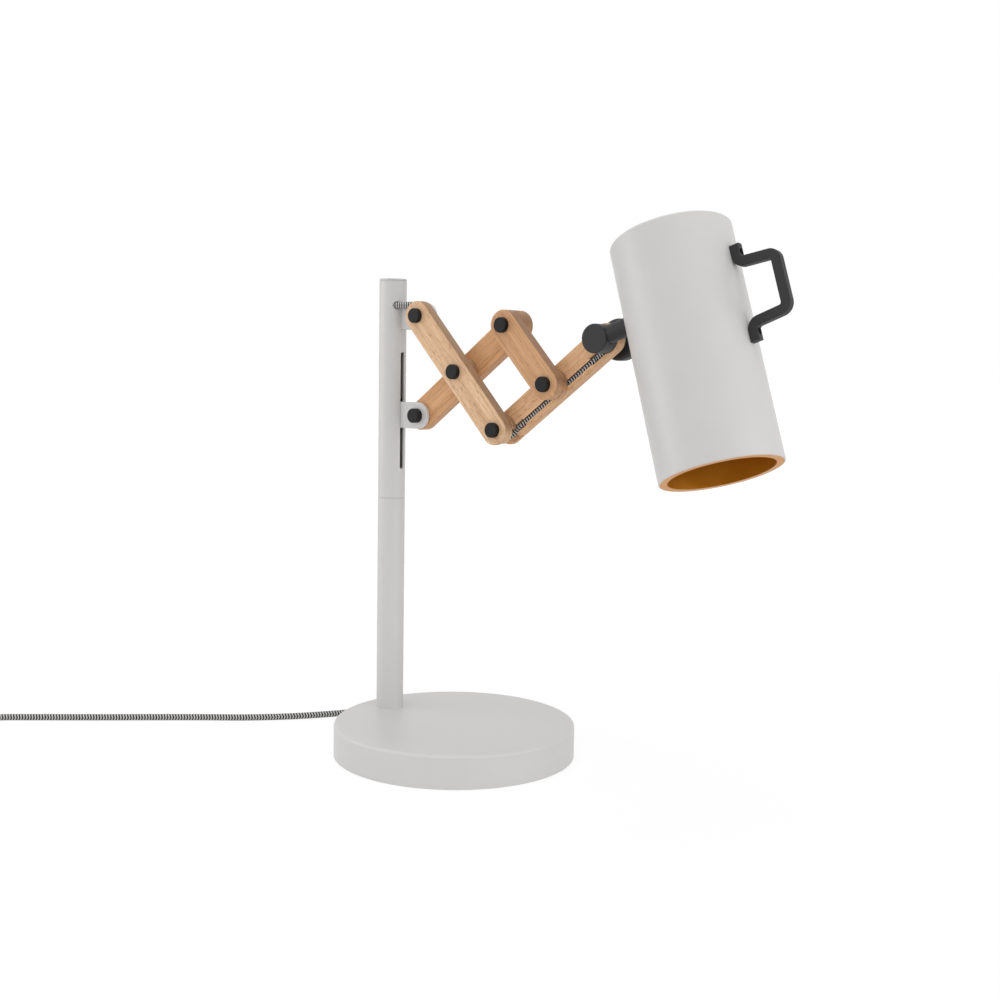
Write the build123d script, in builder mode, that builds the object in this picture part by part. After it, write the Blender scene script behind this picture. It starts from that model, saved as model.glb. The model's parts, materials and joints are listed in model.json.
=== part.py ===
"""Table lamp: round foot, two-piece pole, wooden scissor arm and a mug-shaped shade with a handle.

Millimetres, +Z up. The origin is the centre of the foot's underside. The arm folds in the
XZ plane and reaches towards +X; the side that carries the short bars and the neck is -Y.
"""
import math
import os

from build123d import *

os.makedirs("parts", exist_ok=True)

# Foot
base_diameter = 200.0
base_height = 27.0
base_wall = 2.0
base_edge_round = 2.5
rim_lift = 0.5
pad_thickness = 1.5
pad_inset = 5.0
plate_thickness = 1.5
plate_gap = 0.5
weight_thickness = 10.0
weight_boss_diameter = 12.0
weight_pocket_diameter = 27.0
weight_pocket_depth = 5.8
base_screw_circle_diameter = 150.0
base_screw_count = 3
base_screw_diameter = 4.0
base_screw_head = 7.5
base_screw_depth = 6.0

# Pole
pole_inset = 27.0
pole_diameter = 23.0
pole_wall = 1.5
pole_top = 393.2
pole_seam = 209.2
cap_thickness = 2.0
cap_plug_depth = 6.0
cap_edge_round = 0.6
cap_gap_height = 0.6
cap_gap_depth = 0.8
seam_bevel = 0.5
foot_plug_height = 20.0
joiner_below = 25.0
joiner_above = 12.0
joiner_bore = 15.4
stud_diameter = 13.0
stud_bore = 8.4
stud_below_nut = 0.5
nut_across_flats = 19.0
nut_height = 5.0

# Arm linkage: pivot spacing, the slope of the bars as they stand, and where the fixed pivot is
link_pitch = 60.8
neck_pitch = 57.0
link_drop = 47.73
pivot_reach = 36.8
pivot_below_top = 31.4
slider_setback = 7.3
bar_width = 24.0
bar_thickness = 10.0
bar_edge_round = 1.2
tab_thickness = 4.0
tab_height = 22.0
tab_edge_round = 0.8
slot_length = 98.4
slot_below_pivot = 29.5
shoe_height = 26.0
shoe_play = 1.8
shoe_back = 2.5

# Pivots
pin_diameter = 6.0
pin_head_diameter = 12.0
pin_head_height = 4.0
slider_head_height = 5.5
pin_head_round = 0.7
pin_socket_depth = 2.5

# Neck and its clamp
barrel_diameter = 22.0
barrel_wall = 1.6
barrel_depth = 15.3
barrel_front = 3.3
barrel_edge_round = 0.8
stub_diameter = 14.0
stub_thread_diameter = 10.0
cord_bore = 6.4
stub_flare_diameter = 11.2
stub_flare_depth = 9.0
neck_nut_flats = 15.0
neck_nut_height = 4.0
clamp_diameter = 6.0
knob_diameter = 32.0
knob_thickness = 12.0
knob_edge_round = 2.5
knob_hub_diameter = 20.0
knob_hub_height = 6.0

# Shade: the neck's angle to the floor, the shade's turn on the neck, and its sizes
neck_angle = 20.2
shade_turn = 7.8
neck_length = 75.7
shade_diameter = 88.5
shade_wall = 1.0
shade_above_neck = 48.8
shade_below_neck = 127.4
shade_top_round = 1.2
liner_diameter = 76.0
liner_wall = 0.8
liner_below_neck = 15.4
liner_flange = 1.6
rim_round = 0.5
handle_thickness = 7.2
handle_width = 6.0
handle_bend = 5.2
handle_reach = 35.0
handle_top_end = 25.4
handle_top_arm = 38.4
handle_top_corner = 42.7
handle_low_corner = 82.3
handle_low_arm = 83.4
handle_low_end = 96.4
handle_edge_round = 0.7
handle_screw_diameter = 3.0
handle_screw_head = 4.8
handle_screw_head_depth = 3.0
handle_screw_inside = 3.0
handle_screw_inset = 6.2

# Lampholder and bulb, measured down from the shade's top
holder_plate_depth = 20.0
holder_plate_thickness = 1.5
holder_nipple_diameter = 10.0
holder_nipple_bore = 6.0
holder_nut_height = 3.0
holder_nut_flats = 14.0
holder_dome_height = 16.0
holder_diameter = 39.0
holder_skirt_height = 44.0
holder_cord_depth = 12.0
holder_wall = 3.0
bulb_cap_diameter = 26.4
bulb_cap_height = 24.0
bulb_diameter = 45.0
bulb_glass = 0.8
bulb_length = 50.0

# Cord
cord_diameter = 5.6
groove_width = 6.2
groove_depth = 6.0
groove_offset = 6.2
groove_bend = 9.0
groove_lip = 1.0
groove_mouth = 4.2
groove_end_gap = 20.0
upper_crest = (-5.5, 7.4)
upper_cross_from = 10.0
upper_cross_to = 42.0
bend_start = 16.0
elbow_start = 15.0
elbow_turn = 4.0
elbow_pass = 8.5
elbow_pass_angle = 265.0
elbow_room = 12.4
elbow_reach = 9.0
barrel_pass = 6.1
barrel_pass_angle = 55.0
barrel_entry = 0.8
stub_entry = 3.0
stub_run = 6.0
foot_bend = 12.5
foot_bend_radius = 12.0
pole_bend_radius = 11.0
pole_sway_radius = 60.0
joiner_sway_radius = 40.0
joiner_run = 20.0
joiner_sway = 18.0
foot_run = 15.0
outlet_run = 28.0
outlet_sway_radius = 30.0
outlet_bend_radius = 9.0
outlet_diameter = 6.8
relief_heading = 163.0
relief_height = 7.0
relief_length = 14.0
relief_root_diameter = 11.0
relief_tip_diameter = 7.6
relief_neck = 6.0
relief_flange = 1.5
relief_run = 8.0

# Switch on the cord, its plug and the coil of spare cord
switch_length = 62.0
switch_width = 26.0
switch_height = 17.0
switch_corner = 5.0
switch_edge_round = 2.0
switch_heading = 328.8
rocker_length = 17.0
rocker_width = 11.0
rocker_proud = 2.2
rocker_middle_proud = 0.4
rocker_low = 0.2
rocker_belly = 0.6
rocker_pin_diameter = 2.5
rocker_floor = 3.0
rocker_end_gap = 1.3
coil_turns = 3
coil_inner_radius = 24.0
coil_pitch = 7.2
coil_layer_rise = 6.3
coil_lead = 46.0
coil_lead_level = 9.0
coil_lead_drop = 18.0
plug_lead = 42.0
plug_length = 36.0
plug_width = 18.0
plug_waist = 10.0
plug_round = 2.0
plug_pin_diameter = 4.0
plug_pin_length = 19.0
plug_pin_pitch = 18.6

# Clearances between pieces
running_fit = 0.06
seat_fit = 0.05
body_gap = 0.3
cord_gap = 0.15

# Sizes that follow
base_radius = base_diameter / 2
pole_radius = pole_diameter / 2
pole_bore = pole_radius - pole_wall
pole_x = pole_inset - base_radius
pivot_height = pole_top - pivot_below_top
slot_top = pivot_height - slot_below_pivot
slot_bottom = slot_top - slot_length
cord_radius = cord_diameter / 2
floor_line = cord_radius + 0.1
bar_face = tab_thickness / 2 + body_gap
bar_back = bar_face + bar_thickness
shade_radius = shade_diameter / 2
shade_bore = shade_radius - shade_wall
liner_height = shade_below_neck - liner_below_neck
plate_top = pad_thickness + plate_thickness
cover_roof = base_height - base_wall
weight_floor = cover_roof - weight_thickness
pocket_roof = weight_floor + weight_pocket_depth
stud_floor = pocket_roof - nut_height - stud_below_nut
pin_radius = pin_diameter / 2
link_rise = math.degrees(math.acos(math.cos(math.radians(link_drop)) + slider_setback / link_pitch))


def step(start, length, angle):
    """Point of the arm plane that lies length away from start, at angle above +X."""
    turn = math.radians(angle)
    return (start[0] + length * math.cos(turn), start[1] + length * math.sin(turn))


def on_bar(start, slope, along, aside):
    """Point of the arm plane given along a bar from its first pivot and square to it, upwards."""
    return step(step(start, along, slope), aside, slope + 90)


def at_depth(point, depth):
    """Point of the arm plane moved to a depth Y."""
    return (point[0], depth, point[1])


def save(name, builder):
    """Label a finished piece and write it under its node's name."""
    builder.part.label = name
    export_step(builder.part, f"parts/{name}.step")


def corner_radii(points):
    """Arc radius at each inner point of a cord: 0.45 of the shorter run over tan(turn / 2)."""
    radii = []
    for before, here, after in zip(points, points[1:], points[2:]):
        first = Vector(*here) - Vector(*before)
        second = Vector(*after) - Vector(*here)
        turn = math.radians(first.get_angle(second))
        radii.append(0.45 * min(first.length, second.length) / math.tan(turn / 2))
    return radii


def cord_tube(name, points):
    """Cord along straight runs and tangent arcs, with its radii and volume printed."""
    radii = corner_radii(points)
    with BuildPart() as tube:
        with BuildLine() as route:
            FilletPolyline(*points, radius=radii)
        with BuildSketch(Plane(route.line @ 0, z_dir=route.line % 0)):
            Circle(cord_radius)
        sweep(path=route.wires()[0])
    expected = math.pi * cord_radius**2 * route.wires()[0].length
    print(name, "radii", [round(radius, 1) for radius in radii], "volume / expected",
          round(tube.part.volume / expected, 4), "length", round(route.wires()[0].length, 1))
    save(name, tube)


# Pivots of the arm plane: X and Z
fixed_pivot = (pole_x + pivot_reach, pivot_height)
cross_pivot = step(fixed_pivot, link_pitch, -link_drop)
low_pivot = step(cross_pivot, link_pitch, -link_drop)
slider_pivot = step(cross_pivot, -link_pitch, link_rise)
high_pivot = step(cross_pivot, link_pitch, link_rise)
mid_pivot = step(high_pivot, link_pitch, -link_drop)
neck_pivot = step(mid_pivot, neck_pitch, link_rise)

# Planes of the arm: each looks from -Y, with local x along X and local y along Z
front_back_plane = Plane.XZ.offset(bar_face)
rear_face_plane = Plane.XZ.offset(-bar_face)
rear_back_plane = Plane.XZ.offset(-bar_back)
tab_plane = Plane.XZ.offset(-tab_thickness / 2)

# Frames of the neck and the shade
barrel_back = bar_face - body_gap
neck_depth = barrel_back - barrel_depth / 2
neck_origin = Vector(neck_pivot[0], neck_depth, neck_pivot[1])
neck_dir = Vector(math.cos(math.radians(neck_angle)), 0, math.sin(math.radians(neck_angle)))
neck_up = Vector(-math.sin(math.radians(neck_angle)), 0, math.cos(math.radians(neck_angle)))
shade_up = neck_up.rotate(Axis((0, 0, 0), neck_dir), -shade_turn)
neck_plane = Plane(neck_origin, x_dir=(0, 1, 0), z_dir=neck_dir)
shade_origin = neck_origin + neck_dir * neck_length
shade_frame = Plane(shade_origin, x_dir=neck_dir, z_dir=shade_up)
shade_axis = Axis(shade_origin, shade_up)
handle_plane = Plane(shade_origin, x_dir=neck_dir, z_dir=neck_dir.cross(shade_up))


def shade_level(depth):
    """Plane square to the shade's axis, a depth below its top."""
    return shade_frame.offset(shade_above_neck - depth)


# Foot cover: a spun shell with the pole's hole and the strain relief's hole
relief_plane = Plane.XY.rotated((0, 0, relief_heading))
relief_z = relief_height
relief_face = Plane(
    relief_plane.from_local_coords((base_radius, 0, relief_z)),
    x_dir=(0, 0, 1), z_dir=relief_plane.x_dir,
)
with BuildPart() as base_cover:
    with BuildSketch(Plane.XY.offset(rim_lift)):
        Circle(base_radius)
    extrude(amount=base_height - rim_lift)
    fillet(base_cover.faces().sort_by(Axis.Z)[-1].edges(), base_edge_round)
    with BuildSketch(Plane.XY.offset(rim_lift)):
        Circle(base_radius - base_wall)
    extrude(amount=cover_roof - rim_lift, mode=Mode.SUBTRACT)
    with BuildSketch(Plane.XY.offset(cover_roof)):
        with Locations((pole_x, 0)):
            Circle(stud_diameter / 2 + seat_fit)
    extrude(amount=base_wall, mode=Mode.SUBTRACT)
    with BuildSketch(relief_face):
        Circle(relief_root_diameter / 2 - relief_flange + seat_fit)
    extrude(amount=-2 * base_wall, mode=Mode.SUBTRACT)
save("base_cover", base_cover)

# Counterweight with bosses that stand on the closing plate
with BuildPart() as counterweight:
    with BuildSketch(Plane.XY.offset(weight_floor)):
        Circle(base_radius - base_wall - plate_gap)
        with Locations((pole_x, 0)):
            Circle(stud_diameter / 2 + seat_fit, mode=Mode.SUBTRACT)
    extrude(amount=weight_thickness)
    with BuildSketch(Plane.XY.offset(plate_top)):
        with PolarLocations(base_screw_circle_diameter / 2, base_screw_count):
            Circle(weight_boss_diameter / 2)
    extrude(amount=weight_floor - plate_top)
    with BuildSketch(Plane.XY.offset(plate_top)):
        with PolarLocations(base_screw_circle_diameter / 2, base_screw_count):
            Circle(base_screw_diameter / 2 + seat_fit)
    extrude(amount=base_screw_depth, mode=Mode.SUBTRACT)
    with BuildSketch(Plane.XY.offset(weight_floor)):
        with Locations((pole_x, 0)):
            Circle(weight_pocket_diameter / 2)
    extrude(amount=weight_pocket_depth, mode=Mode.SUBTRACT)
save("counterweight", counterweight)

# Closing plate with countersunk screw holes
with BuildPart() as base_plate:
    with BuildSketch(Plane.XY.offset(pad_thickness)):
        Circle(base_radius - base_wall - plate_gap)
    extrude(amount=plate_thickness)
    with BuildSketch(Plane.XY.offset(pad_thickness)):
        with PolarLocations(base_screw_circle_diameter / 2, base_screw_count):
            Circle(base_screw_head / 2 + seat_fit)
    extrude(amount=plate_thickness / 2, mode=Mode.SUBTRACT)
    with BuildSketch(Plane.XY.offset(pad_thickness)):
        with PolarLocations(base_screw_circle_diameter / 2, base_screw_count):
            Circle(base_screw_diameter / 2 + seat_fit)
    extrude(amount=plate_thickness, mode=Mode.SUBTRACT)
save("base_plate", base_plate)

# Disc of soft padding that the lamp stands on; it covers the screws
with BuildPart() as foot_pad:
    with BuildSketch():
        Circle(base_radius - pad_inset)
    extrude(amount=pad_thickness)
save("foot_pad", foot_pad)

# Screws that close the foot
with BuildPart() as base_screws:
    with BuildSketch(Plane.XY.offset(pad_thickness)):
        with PolarLocations(base_screw_circle_diameter / 2, base_screw_count):
            Circle(base_screw_head / 2)
    extrude(amount=plate_thickness / 2)
    with BuildSketch(Plane.XY.offset(pad_thickness)):
        with PolarLocations(base_screw_circle_diameter / 2, base_screw_count):
            Circle(base_screw_diameter / 2)
    extrude(amount=plate_thickness + base_screw_depth)
save("base_screws", base_screws)

# Hollow stud that holds the pole to the foot, and its nut in the counterweight's pocket
with BuildPart() as pole_stud:
    with BuildSketch(Plane.XY.offset(stud_floor)):
        with Locations((pole_x, 0)):
            Circle(stud_diameter / 2)
            Circle(stud_bore / 2, mode=Mode.SUBTRACT)
    extrude(amount=base_height + foot_plug_height - stud_floor)
save("pole_stud", pole_stud)

with BuildPart() as stud_nut:
    with BuildSketch(Plane.XY.offset(pocket_roof - nut_height)):
        with Locations((pole_x, 0)):
            RegularPolygon(nut_across_flats / 2, 6, major_radius=False)
            Circle(stud_diameter / 2 + seat_fit, mode=Mode.SUBTRACT)
    extrude(amount=nut_height)
save("stud_nut", stud_nut)

# Pole: threaded foot plug, lower tube, joiner, upper tube and cap
with BuildPart() as pole_foot_plug:
    with BuildSketch(Plane.XY.offset(base_height)):
        with Locations((pole_x, 0)):
            Circle(pole_bore - seat_fit)
            Circle(stud_diameter / 2 + seat_fit, mode=Mode.SUBTRACT)
    extrude(amount=foot_plug_height)
save("pole_foot_plug", pole_foot_plug)

with BuildPart() as pole_lower:
    with BuildSketch(Plane.XY.offset(base_height)):
        with Locations((pole_x, 0)):
            Circle(pole_radius)
            Circle(pole_bore, mode=Mode.SUBTRACT)
    extrude(amount=pole_seam - base_height)
    top_rim = pole_lower.edges().filter_by(GeomType.CIRCLE).sort_by(Axis.Z)[-2:]
    chamfer(top_rim.sort_by(SortBy.RADIUS)[-1], seam_bevel)
save("pole_lower", pole_lower)

with BuildPart() as pole_joiner:
    with BuildSketch(Plane.XY.offset(pole_seam - joiner_below)):
        with Locations((pole_x, 0)):
            Circle(pole_bore - seat_fit)
            Circle(joiner_bore / 2, mode=Mode.SUBTRACT)
    extrude(amount=joiner_below + joiner_above)
save("pole_joiner", pole_joiner)

slot_width = tab_thickness + 2 * body_gap
tube_top = pole_top - cap_thickness
outlet_y = -(bar_face + cord_radius + cord_gap)
outlet_height = on_bar(fixed_pivot, -link_drop, *upper_crest)[1]
pole_side_plane = Plane((pole_x, 0, 0), x_dir=(0, 1, 0), z_dir=(1, 0, 0))
with BuildPart() as pole_upper:
    with BuildSketch(Plane.XY.offset(pole_seam)):
        with Locations((pole_x, 0)):
            Circle(pole_radius)
            Circle(pole_bore, mode=Mode.SUBTRACT)
    extrude(amount=tube_top - pole_seam)
    bottom_rim = pole_upper.edges().filter_by(GeomType.CIRCLE).sort_by(Axis.Z)[:2]
    chamfer(bottom_rim.sort_by(SortBy.RADIUS)[-1], seam_bevel)
    with BuildSketch(pole_side_plane):
        with Locations((0, (slot_top + slot_bottom) / 2)):
            SlotOverall(slot_top - slot_bottom, slot_width, rotation=90)
        with Locations((0, pivot_height)):
            Rectangle(tab_thickness + 2 * seat_fit, tab_height + 2 * seat_fit)
        with Locations((outlet_y, outlet_height)):
            Circle(outlet_diameter / 2)
    extrude(amount=pole_diameter, mode=Mode.SUBTRACT)
save("pole_upper", pole_upper)

with BuildPart() as pole_cap:
    with BuildSketch(Plane.XY.offset(tube_top)):
        with Locations((pole_x, 0)):
            Circle(pole_radius)
    extrude(amount=cap_thickness)
    fillet(pole_cap.faces().sort_by(Axis.Z)[-1].edges(), cap_edge_round)
    with BuildSketch(Plane.XY.offset(tube_top)):
        with Locations((pole_x, 0)):
            Circle(pole_radius)
            Circle(pole_radius - cap_gap_depth, mode=Mode.SUBTRACT)
    extrude(amount=cap_gap_height, mode=Mode.SUBTRACT)
    with BuildSketch(Plane.XY.offset(tube_top - cap_plug_depth)):
        with Locations((pole_x, 0)):
            Circle(pole_bore - seat_fit)
    extrude(amount=cap_plug_depth)
save("pole_cap", pole_cap)


def tab_plate(root_x, pivot):
    """Flat tab with a round end about its pivot's hole."""
    with BuildPart() as tab:
        with BuildSketch(tab_plane):
            with Locations(((root_x + pivot[0]) / 2, pivot[1])):
                Rectangle(pivot[0] - root_x, tab_height)
            with Locations(pivot):
                Circle(tab_height / 2)
                Circle(pin_radius + running_fit, mode=Mode.SUBTRACT)
        extrude(amount=tab_thickness)
        round_end = tab.edges().filter_by(GeomType.CIRCLE).sort_by(SortBy.RADIUS)[-2:]
        fillet(round_end, tab_edge_round)
    return tab


# Fixed tab in the pole's wall, and the sliding tab with its shoe inside the pole
save("fixed_tab", tab_plate(pole_x + pole_bore, fixed_pivot))
save("slider_tab", tab_plate(pole_x - shoe_back, slider_pivot))

with BuildPart() as slider_shoe:
    with BuildSketch(Plane.XY.offset(slider_pivot[1] - shoe_height / 2)):
        with Locations((pole_x, 0)):
            Circle(pole_bore - shoe_play)
        with Locations((pole_x - shoe_back, 0)):
            Rectangle(pole_diameter, pole_diameter, align=(Align.MAX, Align.CENTER), mode=Mode.SUBTRACT)
    extrude(amount=shoe_height)
    with BuildSketch(tab_plane):
        with Locations((pole_x - shoe_back, slider_pivot[1])):
            Rectangle(pole_diameter, tab_height, align=(Align.MIN, Align.CENTER))
    extrude(amount=tab_thickness, mode=Mode.SUBTRACT)
save("slider_shoe", slider_shoe)


def link_bar(plane, first, last, slope, pivots, fit, cuts=(), cut_face=None, inwards=1):
    """Wooden bar with full-round ends, holed for its pins; cuts lists (line, width, from depth, to depth)."""
    length = math.dist(first, last)
    with BuildPart() as bar:
        with BuildSketch(plane):
            with Locations(step(first, length / 2, slope)):
                SlotCenterToCenter(length, bar_width, rotation=slope)
        extrude(amount=bar_thickness)
        fillet(bar.faces().filter_by(Axis.Y).edges(), bar_edge_round)
        with BuildSketch(plane):
            with Locations(*pivots):
                Circle(pin_radius + fit)
        extrude(amount=bar_thickness, mode=Mode.SUBTRACT)
        for line, width, from_depth, to_depth in cuts:
            with BuildSketch(cut_face.offset(inwards * from_depth)):
                with BuildLine():
                    if len(line) > 2:
                        FilletPolyline(*line, radius=groove_bend)
                    else:
                        Line(*line)
                trace(line_width=width)
            extrude(amount=inwards * (to_depth - from_depth), mode=Mode.SUBTRACT)
    return bar


# Cord line on the upper bar: over the fixed pivot's pin, then across to the bar's lower side
upper_line = [
    (pole_x + pole_radius, outlet_height),
    on_bar(fixed_pivot, -link_drop, *upper_crest),
    on_bar(fixed_pivot, -link_drop, upper_cross_from, groove_offset),
    on_bar(fixed_pivot, -link_drop, upper_cross_to, -groove_offset),
    on_bar(fixed_pivot, -link_drop, 2 * link_pitch + bar_width, -groove_offset),
]
lower_line = [
    on_bar(low_pivot, link_rise, -bar_width, -groove_offset),
    on_bar(low_pivot, link_rise, link_pitch + neck_pitch + groove_width, -groove_offset),
]

# The last bar's groove has a narrow mouth that holds the cord in, and is open in full at both ends
lower_open_start = [lower_line[0], on_bar(low_pivot, link_rise, groove_end_gap, -groove_offset)]
lower_open_end = [on_bar(neck_pivot, link_rise, -groove_end_gap, -groove_offset), lower_line[1]]
lower_depth_cut = groove_lip + groove_depth
lower_cuts = [
    (lower_line, groove_mouth, 0, groove_lip),
    (lower_line, groove_width, groove_lip, lower_depth_cut),
    (lower_open_start, groove_width, 0, groove_lip),
    (lower_open_end, groove_width, 0, groove_lip),
]

# Where the cord goes round the low pivot, both bars are cut away to their lower edge
elbow_line = groove_offset - groove_width / 2 + elbow_room / 2
upper_elbow = [
    on_bar(fixed_pivot, -link_drop, 2 * link_pitch - groove_width, -elbow_line),
    on_bar(fixed_pivot, -link_drop, 2 * link_pitch + bar_width, -elbow_line),
]
lower_elbow = [
    on_bar(low_pivot, link_rise, -bar_width, -elbow_line),
    on_bar(low_pivot, link_rise, elbow_reach, -elbow_line),
]
save("upper_bar", link_bar(
    front_back_plane, fixed_pivot, low_pivot, -link_drop, [fixed_pivot, cross_pivot, low_pivot], seat_fit,
    [(upper_line, groove_width, 0, groove_depth), (upper_elbow, elbow_room, 0, groove_depth)], front_back_plane))
save("cross_bar", link_bar(
    rear_back_plane, slider_pivot, high_pivot, link_rise, [slider_pivot, cross_pivot, high_pivot], running_fit))
save("short_bar", link_bar(
    front_back_plane, high_pivot, mid_pivot, -link_drop, [high_pivot, mid_pivot], seat_fit))
save("neck_bar", link_bar(
    rear_back_plane, low_pivot, neck_pivot, link_rise, [low_pivot, mid_pivot, neck_pivot], running_fit,
    lower_cuts + [(lower_elbow, elbow_room, 0, lower_depth_cut)], rear_face_plane, -1))


def spacer_discs(pivots, open_pivots=()):
    """Wooden discs between a front bar and the bar behind it, cut away below the open pivots."""
    with BuildPart() as discs:
        with BuildSketch(front_back_plane):
            with Locations(*pivots):
                Circle(bar_width / 2)
                Circle(pin_radius + seat_fit, mode=Mode.SUBTRACT)
            for pivot in open_pivots:
                with Locations((pivot[0], pivot[1] + 3 * body_gap)):
                    Rectangle(bar_width, bar_width, align=(Align.CENTER, Align.MAX), mode=Mode.SUBTRACT)
        extrude(amount=-(2 * bar_face - body_gap))
    return discs


# The disc at the low pivot is open below, where the cord goes round the pin
save("upper_spacers", spacer_discs([cross_pivot, low_pivot], [low_pivot]))
save("short_spacers", spacer_discs([high_pivot, mid_pivot]))


def pivot_pins(pivots, head_face, tail, head_height):
    """Pins along Y with a round head in front of head_face and a plain tail."""
    head_plane = Plane.XZ.offset(-head_face)
    with BuildPart() as pins:
        with BuildSketch(head_plane):
            with Locations(*pivots):
                Circle(pin_head_diameter / 2)
        extrude(amount=head_height)
        fronts = pins.faces().filter_by(Axis.Y).group_by(Axis.Y)[0]
        fillet(fronts.edges(), pin_head_round)
        with BuildSketch(head_plane):
            with Locations(*pivots):
                Circle(pin_radius)
        extrude(amount=-(tail - head_face))
    return pins


def tail_caps(pivots, seat):
    """Push-on caps over the pins' tails, seated at depth seat."""
    seat_plane = Plane.XZ.offset(-seat)
    with BuildPart() as caps:
        with BuildSketch(seat_plane):
            with Locations(*pivots):
                Circle(pin_head_diameter / 2)
        extrude(amount=-pin_head_height)
        backs = caps.faces().filter_by(Axis.Y).group_by(Axis.Y)[-1]
        fillet(backs.edges(), pin_head_round)
        with BuildSketch(seat_plane):
            with Locations(*pivots):
                Circle(pin_radius + seat_fit)
        extrude(amount=-pin_socket_depth, mode=Mode.SUBTRACT)
    return caps


tab_seat = tab_thickness / 2 + body_gap
bar_seat = bar_back + body_gap
save("fixed_pivot_pin", pivot_pins([fixed_pivot], -bar_back, tab_seat + pin_socket_depth, pin_head_height))
save("fixed_pivot_cap", tail_caps([fixed_pivot], tab_seat))
save("upper_pivot_pins",
     pivot_pins([cross_pivot, low_pivot], -bar_back, bar_seat + pin_socket_depth, pin_head_height))
save("upper_pivot_caps", tail_caps([cross_pivot, low_pivot], bar_seat))
save("short_pivot_pins",
     pivot_pins([high_pivot, mid_pivot], -bar_back, bar_seat + pin_socket_depth, pin_head_height))
save("short_pivot_caps", tail_caps([high_pivot, mid_pivot], bar_seat))
save("slider_pivot_pin",
     pivot_pins([slider_pivot], -tab_seat, bar_back + pin_socket_depth, slider_head_height))
save("slider_pivot_cap", tail_caps([slider_pivot], bar_back))

# Neck: a cup-shaped barrel in front of the last bar, its stub, and the clamp behind the bar
barrel_plane = Plane.XZ.offset(-barrel_back)
with BuildPart() as neck_barrel:
    with BuildSketch(barrel_plane):
        with Locations(neck_pivot):
            Circle(barrel_diameter / 2)
    extrude(amount=barrel_depth)
    fillet(neck_barrel.faces().sort_by(Axis.Y)[0].edges(), barrel_edge_round)
    with BuildSketch(barrel_plane):
        with Locations(neck_pivot):
            Circle(barrel_diameter / 2 - barrel_wall)
    extrude(amount=barrel_depth - barrel_front, mode=Mode.SUBTRACT)
    with BuildSketch(barrel_plane):
        with Locations(neck_pivot):
            Circle(clamp_diameter / 2 + seat_fit)
    extrude(amount=barrel_depth - barrel_front / 2, mode=Mode.SUBTRACT)
    with BuildSketch(neck_plane):
        Circle(stub_diameter / 2 + seat_fit)
    extrude(amount=barrel_diameter, mode=Mode.SUBTRACT)
save("neck_barrel", neck_barrel)

stub_start = barrel_diameter / 2 - barrel_wall
stub_shoulder = neck_length - shade_radius - body_gap
nut_seat = neck_length - math.sqrt(shade_bore**2 - (neck_nut_flats / math.sqrt(3))**2) + body_gap
stub_end = nut_seat + neck_nut_height
with BuildPart() as neck_stub:
    with BuildSketch(neck_plane.offset(stub_start)):
        Circle(stub_diameter / 2)
    extrude(amount=stub_shoulder - stub_start)
    with BuildSketch(neck_plane.offset(stub_shoulder)):
        Circle(stub_thread_diameter / 2)
    extrude(amount=stub_end - stub_shoulder)
    with BuildSketch(neck_plane.offset(stub_start)):
        Circle(cord_bore / 2)
    extrude(amount=stub_end - stub_start, mode=Mode.SUBTRACT)
    with BuildSketch(neck_plane.offset(stub_start)):
        Circle(stub_flare_diameter / 2)
    extrude(amount=stub_flare_depth, mode=Mode.SUBTRACT)
save("neck_stub", neck_stub)

with BuildPart() as neck_nut:
    with BuildSketch(neck_plane.offset(nut_seat)):
        RegularPolygon(neck_nut_flats / 2, 6, major_radius=False)
        Circle(stub_thread_diameter / 2 + seat_fit, mode=Mode.SUBTRACT)
    extrude(amount=neck_nut_height)
save("neck_nut", neck_nut)

knob_seat = bar_back + body_gap
knob_back = knob_seat + knob_hub_height + knob_thickness
with BuildPart() as clamp_stud:
    with BuildSketch(barrel_plane.offset(barrel_depth - barrel_front / 2)):
        with Locations(neck_pivot):
            Circle(clamp_diameter / 2)
    extrude(amount=-(knob_back - knob_thickness / 2 - barrel_back + barrel_depth - barrel_front / 2))
save("clamp_stud", clamp_stud)

with BuildPart() as clamp_knob:
    with BuildSketch(Plane.XZ.offset(-knob_seat)):
        with Locations(neck_pivot):
            Circle(knob_hub_diameter / 2)
    extrude(amount=-knob_hub_height)
    with BuildSketch(Plane.XZ.offset(-knob_seat - knob_hub_height)):
        with Locations(neck_pivot):
            Circle(knob_diameter / 2)
    extrude(amount=-knob_thickness)
    rims = clamp_knob.edges().filter_by(GeomType.CIRCLE).group_by(SortBy.RADIUS)[-1]
    fillet(rims, knob_edge_round)
    with BuildSketch(Plane.XZ.offset(-knob_seat)):
        with Locations(neck_pivot):
            Circle(clamp_diameter / 2 + running_fit)
    extrude(amount=-(knob_hub_height + knob_thickness / 2 + body_gap), mode=Mode.SUBTRACT)
save("clamp_knob", clamp_knob)

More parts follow.
